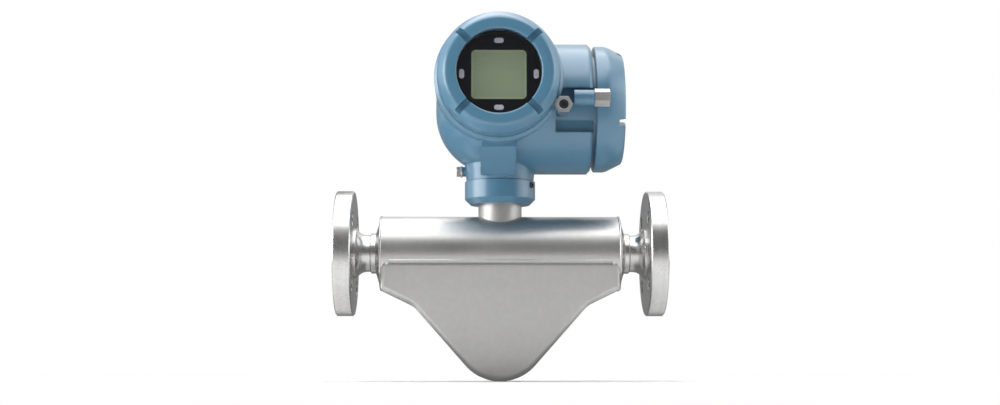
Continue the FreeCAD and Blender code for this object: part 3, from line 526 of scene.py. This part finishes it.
def plastic_finish(name, colour, roughness, grain=0.35 * MM, depth=0.02 * MM, wear=0.2,
                   sheen=0.0, gloss=0.5):
    """Moulded plastic, rubber or potting with a fine texture and scuffed edges."""
    material, tree, shader, position = blank_material(name)
    grains = effect(tree, "Surface Grain", position, Grain_Size=grain)
    smears = effect(tree, "Handling Marks", position, Smear_Size=12 * MM)
    worn = effect(tree, "Edge Wear", position, Rounding=0.3 * MM, Wear=wear)
    dust = effect(tree, "Settled Dust", position, Amount=0.06)
    tone = blend_colours(tree, grains["Spots"], shade(colour, 0.85), colour)
    tone = blend_colours(tree, worn["Mask"], tone, shade(colour, 1.8))
    wire(tree, shader, {
        "Base Color": blend_colours(tree, dust["Mask"], tone, (0.5, 0.5, 0.48, 1)),
        "Roughness": vary(tree, smears["Smears"], roughness * 0.85, roughness * 1.2),
        "Normal": bump(tree, grains["Height"], depth, worn["Normal"]),
        "Sheen Weight": sheen,
        "Specular IOR Level": gloss,
    })
    return material


def glass_finish():
    """Flat window glass with faint smears."""
    material, tree, shader, position = blank_material("window_glass_clear")
    smears = effect(tree, "Handling Marks", position, Smear_Size=9 * MM)
    dust = effect(tree, "Surface Grain", position, Grain_Size=0.6 * MM)
    wire(tree, shader, {
        "Base Color": blend_colours(tree, dust["Spots"], (0.97, 0.985, 0.98, 1), WHITE),
        "Roughness": ramp(tree, smears["Smears"], 0.4, 1.0, 0.01, 0.05),
        "Transmission Weight": 1.0,
        "Specular IOR Level": 0.2,
        "IOR": 1.47,
    })
    return material


def display_finish(colour):
    """Unlit liquid crystal panel with a paler frame line, its dot grid and a black border."""
    material, tree, shader, position = blank_material("display_crystal")
    half = (LCD_HIGH - LCD_LOW) / 2
    centred = add(tree, "ShaderNodeMapping", {
        "Vector": position, "Location": -(LCD_LOW + LCD_HIGH) / 2,
    }).outputs[0]
    parts = add(tree, "ShaderNodeSeparateXYZ", {0: centred}).outputs
    across = maths(tree, "ABSOLUTE", parts["X"])
    up = maths(tree, "ABSOLUTE", parts["Z"])
    edge_gap = maths(tree, "MINIMUM", maths(tree, "SUBTRACT", half.x, across),
                     maths(tree, "SUBTRACT", half.z, up))
    frame_line = ramp(tree, edge_gap, 3.0 * MM, 2.4 * MM)
    dot_pitch = 0.42 * MM
    dots = add(tree, "ShaderNodeTexVoronoi", {
        "Vector": centred, "Scale": 1 / dot_pitch, "Randomness": 0.0,
    }, distance="CHEBYCHEV")
    gaps = ramp(tree, dots.outputs["Distance"], 0.40, 0.5)
    cloud = effect(tree, "Handling Marks", position, Smear_Size=35 * MM)
    tone = tint(tree, colour, cloud["Smears"], 0.4, shade(colour, 0.9))
    tone = tint(tree, tone, gaps, 0.25, shade(colour, 1.2))
    tone = tint(tree, tone, frame_line, 0.8, shade(colour, 1.22))
    corner = 5 * MM
    past_x = maths(tree, "MAXIMUM", maths(tree, "SUBTRACT", across, half.x - corner), 0.0)
    past_z = maths(tree, "MAXIMUM", maths(tree, "SUBTRACT", up, half.z - corner), 0.0)
    spread = add(tree, "ShaderNodeCombineXYZ", {"X": past_x, "Z": past_z})
    reach = add(tree, "ShaderNodeVectorMath", {0: spread.outputs[0]}, operation="LENGTH")
    border = ramp(tree, reach.outputs["Value"], corner - 1.2 * MM, corner - 0.8 * MM)
    surface = add(tree, "ShaderNodeNewGeometry")
    wire(tree, shader, {
        "Base Color": blend_colours(tree, border, tone, (0.008, 0.009, 0.011, 1)),
        "Roughness": vary(tree, cloud["Smears"], 0.22, 0.32),
        "Normal": bump(tree, gaps, 0.01 * MM, surface.outputs["Normal"]),
        "Specular IOR Level": 0.3,
    })
    return material


def copper_finish():
    """Enamelled copper winding, one ridge per turn of wire, with painted shade darkening the
    grooves between turns.
    """
    material, tree, shader, position = blank_material("wound_copper")
    turns = add(tree, "ShaderNodeTexWave", {
        "Vector": position, "Scale": 1 / (2.4 * MM), "Distortion": 0.2, "Detail": 1.0,
    }, bands_direction="Y").outputs["Fac"]
    grains = effect(tree, "Surface Grain", position, Grain_Size=0.3 * MM)
    surface = add(tree, "ShaderNodeNewGeometry")
    wire(tree, shader, {
        # The base colour darkens in the grooves between turns: painted shade that follows the
        # ridges
        "Base Color": blend_colours(tree, turns, (0.30, 0.11, 0.05, 1), (0.72, 0.34, 0.18, 1)),
        "Roughness": vary(tree, grains["Spots"], 0.28, 0.42),
        "Normal": bump(tree, turns, 0.12 * MM, surface.outputs["Normal"]),
        "Metallic": 0.9,
    })
    return material


def board_finish():
    """Green circuit board with tracks under the solder mask."""
    material, tree, shader, position = blank_material("circuit_board")
    tracks = add(tree, "ShaderNodeTexVoronoi", {
        "Vector": position, "Scale": 260.0, "Randomness": 0.7,
    }, distance="MANHATTAN", feature="F2")
    lines = ramp(tree, tracks.outputs["Distance"], 0.55, 0.6)
    grains = effect(tree, "Surface Grain", position, Grain_Size=0.4 * MM)
    worn = effect(tree, "Edge Wear", position, Rounding=0.2 * MM, Wear=0.2)
    wire(tree, shader, {
        "Base Color": blend_colours(tree, lines, (0.01, 0.11, 0.04, 1), (0.03, 0.22, 0.08, 1)),
        "Roughness": vary(tree, grains["Spots"], 0.3, 0.45),
        "Normal": bump(tree, lines, 0.04 * MM, worn["Normal"]),
    })
    return material


# Pieces


def add_piece(name, shape, material, body, replaced=()):
    """Turns a bmesh into a smooth-shaded piece that rides on a body."""
    for face in shape.faces:
        face.smooth = True
    for edge in shape.edges:
        edge.smooth = edge.calc_face_angle(0) < SHARP_EDGE
    mesh = bpy.data.meshes.new(name)
    shape.to_mesh(mesh)
    shape.free()
    mesh.materials.append(material)
    piece = bpy.data.objects.new(name, mesh)
    bpy.context.scene.collection.objects.link(piece)
    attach(piece, body)
    if replaced:
        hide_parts(*replaced)
    return piece


def rounded_profile(corners):
    """Closed wire from (radius, height, rounding) corners, for spinning."""
    shape = bmesh.new()
    verts = [shape.verts.new((radius, 0, height)) for radius, height, rounding in corners]
    for first, second in zip(verts, verts[1:] + verts[:1]):
        shape.edges.new((first, second))
    for vert, corner in zip(verts, corners):
        rounding = corner[2]
        if rounding:
            bmesh.ops.bevel(shape, geom=[vert], offset=rounding, offset_type="OFFSET", segments=4,
                            profile=0.5, affect="VERTICES", material=-1)
    return shape


def spin_profile(shape, steps):
    """Turns a wire about Z into a closed skin."""
    bmesh.ops.spin(shape, geom=shape.verts[:] + shape.edges[:], axis=(0, 0, 1), cent=(0, 0, 0),
                   angle=math.tau, steps=steps, use_merge=True)
    bmesh.ops.remove_doubles(shape, verts=shape.verts, dist=SAME_POINT)
    bmesh.ops.recalc_face_normals(shape, faces=shape.faces)


def slice_faces(shape, faces, place, normal):
    """Divides the faces that a plane crosses."""
    parts = set(faces) | {edge for face in faces for edge in face.edges}
    parts |= {vert for face in faces for vert in face.verts}
    bmesh.ops.bisect_plane(shape, geom=list(parts), dist=SAME_POINT,
                           plane_co=place, plane_no=normal)


def cut_notch(shape, angle, width, floor):
    """Mills a slot through the rim, along the ray at angle, down to the floor's height."""
    along = Vector((math.cos(angle), math.sin(angle), 0))
    across = Vector((-along.y, along.x, 0))
    half = width / 2

    def on_ray():
        return [face for face in shape.faces if face.calc_center_median().dot(along) > width]

    def in_slot():
        return [face for face in on_ray() if abs(face.calc_center_median().dot(across)) < half]

    for side in (-half, half):
        slice_faces(shape, on_ray(), across * side, across)
    slice_faces(shape, in_slot(), (0, 0, floor), (0, 0, 1))
    milled = [face for face in in_slot() if face.calc_center_median().z > floor]
    bmesh.ops.delete(shape, geom=milled, context="FACES")
    # Closes the slot's two walls, and then its bottom
    rims = [edge for edge in shape.edges if edge.is_boundary]
    for side in (-half, half):
        wall = [edge for edge in rims
                if all(abs(vert.co.dot(across) - side) < ON_PLANE for vert in edge.verts)]
        ends = [vert for edge in wall for vert in edge.verts if abs(vert.co.z - floor) < ON_PLANE]
        ends.sort(key=lambda vert: vert.co.dot(along))
        base = shape.edges.new((ends[0], ends[-1]))
        bmesh.ops.contextual_create(shape, geom=wall + [base])
    bottom = [edge for edge in shape.edges if edge.is_boundary]
    bmesh.ops.contextual_create(shape, geom=bottom)


def put(shape, place, axis):
    """Turns the mesh's Z to an axis and moves it to its place."""
    turn = Vector((0, 0, 1)).rotation_difference(axis).to_matrix()
    bmesh.ops.rotate(shape, verts=shape.verts, cent=(0, 0, 0), matrix=turn)
    bmesh.ops.translate(shape, verts=shape.verts, vec=place)


# Steps


def stand(context, name, data, place, target):
    """Puts a lamp or the camera at its place, turned to its target."""
    holder = bpy.data.objects.new(name, data)
    holder.location = place
    holder.rotation_euler = (target - place).to_track_quat("-Z", "Y").to_euler()
    context.scene.collection.objects.link(holder)
    return holder


class METER_OT_studio(bpy.types.Operator):
    """Floor, world, lamps and the camera at the photograph's angle"""
    bl_idname = "meter.studio"
    bl_label = "Studio"

    def execute(self, context):
        studio = context.scene.meter_studio
        context.scene.view_settings.view_transform = "Standard"
        self.make_world(context, studio)
        self.make_floor(context, studio)
        self.make_lamps(context, studio)
        self.make_camera(context, studio)
        return {"FINISHED"}

    def make_world(self, context, studio):
        """Walls that are white to the eye, with a dark room in front and behind in mirrors."""
        world = bpy.data.worlds.new("studio_world")
        context.scene.world = world
        world.use_nodes = True
        tree = world.node_tree
        tree.nodes.clear()
        output = add(tree, "ShaderNodeOutputWorld")
        view = add(tree, "ShaderNodeTexCoord")
        parts = add(tree, "ShaderNodeSeparateXYZ", {0: view.outputs["Generated"]}).outputs
        front = maths(tree, "MULTIPLY", parts["Y"], -1.0)
        upper = maths(tree, "MULTIPLY", parts["Z"], ROOM_TILT)
        room = ramp(tree, maths(tree, "SUBTRACT", front, upper), *ROOM_FADE)
        behind = ramp(tree, parts["Y"], *BACK_FADE)
        mirrored = blend_colours(tree, maths(tree, "MAXIMUM", room, behind), WHITE,
                                 neutral(studio.room_grey))
        even = blend_colours(tree, room, neutral(studio.ambient),
                             neutral(studio.ambient * studio.room_grey))
        path = add(tree, "ShaderNodeLightPath").outputs
        seen = blend_colours(tree, path["Is Glossy Ray"], even, mirrored)
        # The window mirrors the dark room, but light that left the display passes it undimmed
        mirror_only = maths(tree, "LESS_THAN", path["Diffuse Depth"], 0.5)
        shown = maths(tree, "SUBTRACT", 1.0, maths(tree, "MULTIPLY", room, mirror_only))
        through = maths(tree, "MULTIPLY", path["Is Transmission Ray"], shown)
        direct = maths(tree, "MAXIMUM", path["Is Camera Ray"], through)
        colour = blend_colours(tree, direct, seen, WHITE)
        light = add(tree, "ShaderNodeBackground", {"Color": colour, "Strength": 1.0})
        tree.links.new(light.outputs[0], output.inputs["Surface"])

    def make_floor(self, context, studio):
        """Pale floor that takes the meter's shadow and fades to white further off; to mirrors it
        shows painted grey: painted shade in front and behind, a painted shadow under the belly.
        """
        shape = bmesh.new()
        bmesh.ops.create_grid(shape, x_segments=1, y_segments=1, size=FLOOR_HALF_WIDTH)
        bmesh.ops.translate(shape, verts=shape.verts,
                            vec=(CASE_CENTRE.x, 0, FLOOR_HEIGHT - FLOOR_GAP))
        mesh = bpy.data.meshes.new("studio_floor")
        shape.to_mesh(mesh)
        shape.free()
        floor = bpy.data.objects.new("studio_floor", mesh)
        context.scene.collection.objects.link(floor)
        material, tree, shader, position = blank_material("studio_floor_white")
        wire(tree, shader, {"Base Color": neutral(0.90), "Roughness": 0.7})
        away = add(tree, "ShaderNodeMapping", {
            "Vector": position, "Location": (-CASE_CENTRE.x, 0, -FLOOR_HEIGHT),
        }).outputs[0]
        distance = add(tree, "ShaderNodeVectorMath", {0: away}, operation="LENGTH")
        far = ramp(tree, distance.outputs["Value"], *FLOOR_FADE)
        path = add(tree, "ShaderNodeLightPath").outputs
        direct = maths(tree, "MAXIMUM", path["Is Camera Ray"], path["Is Transmission Ray"])
        direct = maths(tree, "MAXIMUM", direct, path["Is Glossy Ray"])
        parts = add(tree, "ShaderNodeSeparateXYZ", {0: away}).outputs
        # Mirrored rays see the floor painted grey in front of and behind the meter: painted shade
        room = maths(tree, "MAXIMUM", ramp(tree, parts["Y"], *FRONT_FLOOR),
                     ramp(tree, parts["Y"], *BACK_FLOOR))
        # Under the belly the floor is painted grey to mirrors: a painted shadow of the belly
        painted_belly_shadow = maths(tree, "MULTIPLY", ramp(tree, parts["Y"], *BELLY_SHADOW_FLOOR),
                            ramp(tree, maths(tree, "ABSOLUTE", parts["X"]), *BELLY_SIDES))
        room = maths(tree, "MAXIMUM", room, painted_belly_shadow)
        room = maths(tree, "MULTIPLY", room, path["Is Glossy Ray"])
        # The floor's glow is white far off, and grey where the painted shade and painted shadow
        # lie
        tone = blend_colours(tree, room, WHITE, neutral(studio.room_grey))
        white = add(tree, "ShaderNodeEmission", {"Color": tone, "Strength": 1.0})
        covered = maths(tree, "MAXIMUM", maths(tree, "MULTIPLY", far, direct), room)
        mix = add(tree, "ShaderNodeMixShader", {
            0: covered, 1: shader.outputs[0], 2: white.outputs[0],
        })
        output = next(node for node in tree.nodes if node.type == "OUTPUT_MATERIAL")
        tree.links.new(mix.outputs[0], output.inputs["Surface"])
        mesh.materials.append(material)
        floor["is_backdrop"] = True

    def make_lamps(self, context, studio):
        """Square softboxes, all turned to the meter."""
        target = Vector((CASE_CENTRE.x, 0, LAMP_TARGET_HEIGHT))
        softboxes = (  # name, place, width and power
            ("overhead_softbox", (0.05, -0.10, 1.35), 1.8, studio.overhead_power),
            ("left_softbox", (-1.5, -0.50, 0.15), 1.5, studio.side_power),
            ("right_softbox", (1.7, -0.25, 0.55), 1.3, studio.side_power / 4),
            ("front_softbox", (-0.9, -1.7, 0.9), 1.2, studio.fill_power),
            ("rear_softbox", (0.5, 1.3, 0.9), 1.2, studio.fill_power * 2),
        )
        for name, place, width, power in softboxes:
            lamp = bpy.data.lights.new(name, "AREA")
            lamp.shape = "SQUARE"
            lamp.size = width
            lamp.energy = power
            stand(context, name, lamp, Vector(place), target)

    def make_camera(self, context, studio):
        """Camera whose lens shows the frame height at the meter."""
        low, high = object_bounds()
        target = Vector((CASE_CENTRE.x, 0, (low.z + high.z) / 2))
        data = bpy.data.cameras.new("studio_camera")
        place = Vector((studio.camera_side, -studio.camera_distance, studio.camera_height))
        frame_width = studio.frame_height * IMAGE_WIDTH / IMAGE_HEIGHT
        data.lens = data.sensor_width * (target - place).length / frame_width
        data.clip_start = 0.05
        data.clip_end = 50
        context.scene.camera = stand(context, "studio_camera", data, place, target)


def turned_cover(name, body, section, rim, slot_angle, material, place, axis):
    """Threaded cover with rounded shoulders and four milled wrench slots."""
    shape = rounded_profile([[value * MM for value in corner] for corner in section])
    spin_profile(shape, COVER_STEPS)
    for quarter in range(4):
        cut_notch(shape, slot_angle + quarter * math.pi / 2, SLOT_WIDTH, rim - SLOT_DEPTH)
    bmesh.ops.recalc_face_normals(shape, faces=shape.faces)
    put(shape, place, axis)
    return add_piece(name + "_turned", shape, material, body, (name,))


class METER_OT_covers(bpy.types.Operator):
    """The two threaded covers, with rounded shoulders and milled wrench slots"""
    bl_idname = "meter.covers"
    bl_label = "Covers"

    def execute(self, context):
        paint = turned_paint(context)
        turned_cover("display_cover", "display_cover_set", DISPLAY_SECTION,
                     DISPLAY_HIGH.y - DISPLAY_LOW.y, DISPLAY_SLOT_ANGLE, paint,
                     Vector((DISPLAY_CENTRE.x, DISPLAY_HIGH.y, DISPLAY_CENTRE.z)),
                     Vector((0, -1, 0)))
        turned_cover("wiring_cover", "wiring_cover_set", WIRING_SECTION,
                     WIRING_HIGH.x - WIRING_LOW.x, WIRING_SLOT_ANGLE, paint,
                     Vector((WIRING_LOW.x, 0, WIRING_CENTRE.z)),
                     Vector((1, 0, 0)))
        return {"FINISHED"}


class METER_OT_welds(bpy.types.Operator):
    """Weld beads at both ends of the two end caps"""
    bl_idname = "meter.welds"
    bl_label = "Weld beads"

    def execute(self, context):
        colours = context.scene.meter_colours
        bead = context.scene.meter_sizes.weld_width
        steel = steel_finish("weld_steel", tuple(colours.steel), roughness=0.3, grain=1.2 * MM)
        # The bead on the case sinks a third of its radius into the tube
        beads = ((CAP_LOW.x, PIPE_RADIUS), (CASE_LOW.x, CASE_RADIUS - bead / 3))
        for side, end in (("inlet", 1), ("outlet", -1)):
            shape = bmesh.new()
            for station, radius in beads:
                ring = self.bead_ring(radius, bead)
                place = CASE_CENTRE.x + end * (station - CASE_CENTRE.x)
                put(ring, Vector((place, 0, 0)), Vector((end, 0, 0)))
                mesh = bpy.data.meshes.new("bead_ring")
                ring.to_mesh(mesh)
                ring.free()
                shape.from_mesh(mesh)
                bpy.data.meshes.remove(mesh)
            add_piece(side + "_weld_beads", shape, steel, "sensor")
        return {"FINISHED"}

    def bead_ring(self, radius, bead):
        """Ring of weld metal with a round section."""
        shape = bmesh.new()
        bmesh.ops.create_circle(shape, segments=BEAD_SEGMENTS, radius=bead)
        bmesh.ops.rotate(shape, verts=shape.verts, cent=(0, 0, 0),
                         matrix=Matrix.Rotation(math.pi / 2, 3, "X"))
        bmesh.ops.translate(shape, verts=shape.verts, vec=(radius, 0, 0))
        spin_profile(shape, BEAD_STEPS)
        return shape


def finish_nodes(names, material):
    """Gives CAD nodes a finish in every material slot they have."""
    for name in names:
        for holder in frame["nodes"][name].material_slots:
            holder.material = material


class METER_OT_sensor_finish(bpy.types.Operator):
    """Steel finishes of the flanges, the case and what the case holds"""
    bl_idname = "meter.sensor_finish"
    bl_label = "Sensor finishes"

    def execute(self, context):
        colours = context.scene.meter_colours
        steel = tuple(colours.steel)
        turned = tuple(colours.turned_steel)
        on_pipe = (0, 0, 0)
        finish_nodes(["case_tube"], case_finish(
            "drawn_case_steel", shade(steel, 0.93), roughness=0.38))
        finish_nodes(["case_belly_front", "case_belly_rear"], case_finish(
            "blasted_steel", steel, roughness=0.50))
        finish_nodes(["inlet_flange", "outlet_flange"], steel_finish(
            "turned_flange_steel", turned, roughness=0.28, grain=0.25 * MM,
            rounding=0.8 * MM, wear=0.08, marks_at=on_pipe, spacing=0.3 * MM))
        finish_nodes(["inlet_end_cap", "outlet_end_cap"], steel_finish(
            "turned_cap_steel", turned, roughness=0.26, grain=0.25 * MM,
            rounding=0.6 * MM, wear=0.1, marks_at=on_pipe))
        finish_nodes(["inlet_manifold", "outlet_manifold"], steel_finish(
            "cast_steel", steel, roughness=0.42, grain=0.9 * MM, rounding=0.8 * MM, wear=0.2))
        finish_nodes(["flow_tube_front", "flow_tube_rear", "temperature_sensor"], steel_finish(
            "drawn_tube_steel", turned, roughness=0.16, grain=0.4 * MM,
            rounding=0.2 * MM, wear=0.1))
        finish_nodes(["inlet_brace_plate", "outlet_brace_plate"], steel_finish(
            "plate_steel", steel, roughness=0.33, grain=0.4 * MM, rounding=0.2 * MM, wear=0.4))
        finish_nodes(["sensor_neck"], steel_finish(
            "turned_neck_steel", shade(turned, 0.8), roughness=0.50, grain=0.5 * MM,
            rounding=0.6 * MM, wear=0.2, marks_at=-Vector((0, CASE_CENTRE.x, 0)),
            turn=(0, math.pi / 2, math.pi / 2)))
        finish_nodes(["drive_coil", "inlet_pickoff_coil", "outlet_pickoff_coil"], copper_finish())
        finish_nodes(["drive_magnet", "inlet_pickoff_magnet", "outlet_pickoff_magnet"],
                     steel_finish("plated_magnet", (0.5, 0.5, 0.52, 1), roughness=0.2,
                                  grain=0.6 * MM))
        finish_nodes(["feedthrough_disc"], plastic_finish(
            "fused_glass", (0.05, 0.12, 0.07, 1), roughness=0.15))
        finish_nodes(["feedthrough_pins"], steel_finish(
            "gilded_pins", (0.85, 0.62, 0.26, 1), roughness=0.2, grain=0.4 * MM))
        return {"FINISHED"}


class METER_OT_transmitter_finish(bpy.types.Operator):
    """Paint, steel, rubber and plastic finishes of the transmitter"""
    bl_idname = "meter.transmitter_finish"
    bl_label = "Transmitter finishes"

    def execute(self, context):
        self.finish_outside(context.scene.meter_colours, context.scene.meter_sizes)
        finish_nodes(["base_collar", "display_cover", "wiring_cover"], turned_paint(context))
        self.finish_inside(context.scene.meter_colours)
        return {"FINISHED"}

    def finish_outside(self, colours, sizes):
        """Casting, clamps, screws, seals and cable entries."""
        turned = tuple(colours.turned_steel)
        finish_nodes(["transmitter_housing"], paint_finish(
            "cast_powder_coat", tuple(colours.paint), sizes.cast_round, sizes.thread_pitch))
        finish_nodes(
            ["collar_screws", "display_clamp_screw", "wiring_clamp_screw", "module_screws"],
            steel_finish("blackened_steel", (0.09, 0.09, 0.095, 1), roughness=0.38,
                         grain=0.5 * MM))
        finish_nodes(
            ["display_clamp", "wiring_clamp", "ground_screw", "ground_washer", "window_retainer"],
            steel_finish("turned_clamp_steel", shade(turned, 1.15), roughness=0.36,
                         grain=0.5 * MM, rounding=0.5 * MM, wear=0.3))
        finish_nodes(["swivel_oring", "display_cover_seal", "wiring_cover_seal"], plastic_finish(
            "seal_rubber", (0.018, 0.018, 0.019, 1), roughness=0.62, grain=0.3 * MM,
            depth=0.03 * MM, wear=0.1, sheen=0.2))
        finish_nodes(["conduit_plugs"], steel_finish(
            "nickel_plated_brass", (0.60, 0.57, 0.50, 1), roughness=0.28, grain=0.5 * MM,
            rounding=0.6 * MM, wear=0.4))

    def finish_inside(self, colours):
        """Window, display, boards, potting and terminals."""
        finish_nodes(["window_glass"], glass_finish())
        finish_nodes(["lcd_panel"], display_finish(tuple(colours.display)))
        finish_nodes(["display_bezel"], plastic_finish(
            "bezel_black", (0.003, 0.005, 0.012, 1), roughness=0.5, wear=0.0, gloss=0.02))
        finish_nodes(["touch_pads"], plastic_finish(
            "pad_print", tuple(colours.pads), roughness=0.4, grain=0.2 * MM, depth=0.005 * MM))
        finish_nodes(["display_board"], board_finish())
        finish_nodes(["display_standoffs", "terminal_screws"], steel_finish(
            "brass", (0.78, 0.58, 0.27, 1), roughness=0.26, grain=0.4 * MM))
        finish_nodes(["electronics_module", "bulkhead_plug"], plastic_finish(
            "potting_black", (0.02, 0.02, 0.022, 1), roughness=0.45, grain=0.8 * MM,
            depth=0.05 * MM))
        finish_nodes(["terminal_block"], plastic_finish(
            "terminal_moulding", (0.23, 0.25, 0.26, 1), roughness=0.48, grain=0.3 * MM,
            depth=0.03 * MM))


class METER_PT_sidebar(bpy.types.Panel):
    """Lists the steps that dress the flow meter"""
    bl_idname = "METER_PT_sidebar"
    bl_label = "Flow Meter"
    bl_space_type = "VIEW_3D"
    bl_region_type = "UI"
    bl_category = "Flow Meter"

    def draw(self, context):
        column = self.layout.column()
        for step in STEPS:
            column.operator(step.bl_idname)
        scene = context.scene
        for group in (scene.meter_colours, scene.meter_sizes, scene.meter_studio):
            box = self.layout.box()
            for name in group.__annotations__:
                box.prop(group, name)


STEPS = (
    METER_OT_studio,
    METER_OT_sensor_finish,
    METER_OT_transmitter_finish,
    METER_OT_covers,
    METER_OT_welds,
)
CLASSES = (MeterColours, MeterSizes, MeterStudio) + STEPS + (METER_PT_sidebar,)


def register():
    for item in CLASSES:
        bpy.utils.register_class(item)
    bpy.types.Scene.meter_colours = bpy.props.PointerProperty(type=MeterColours)
    bpy.types.Scene.meter_sizes = bpy.props.PointerProperty(type=MeterSizes)
    bpy.types.Scene.meter_studio = bpy.props.PointerProperty(type=MeterStudio)


def unregister():
    del bpy.types.Scene.meter_studio
    del bpy.types.Scene.meter_sizes
    del bpy.types.Scene.meter_colours
    for item in reversed(CLASSES):
        bpy.utils.unregister_class(item)


def main():
    register()
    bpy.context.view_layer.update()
    for step in STEPS:
        group, name = step.bl_idname.split(".")
        getattr(getattr(bpy.ops, group), name)()


if __name__ == "__main__":
    main()
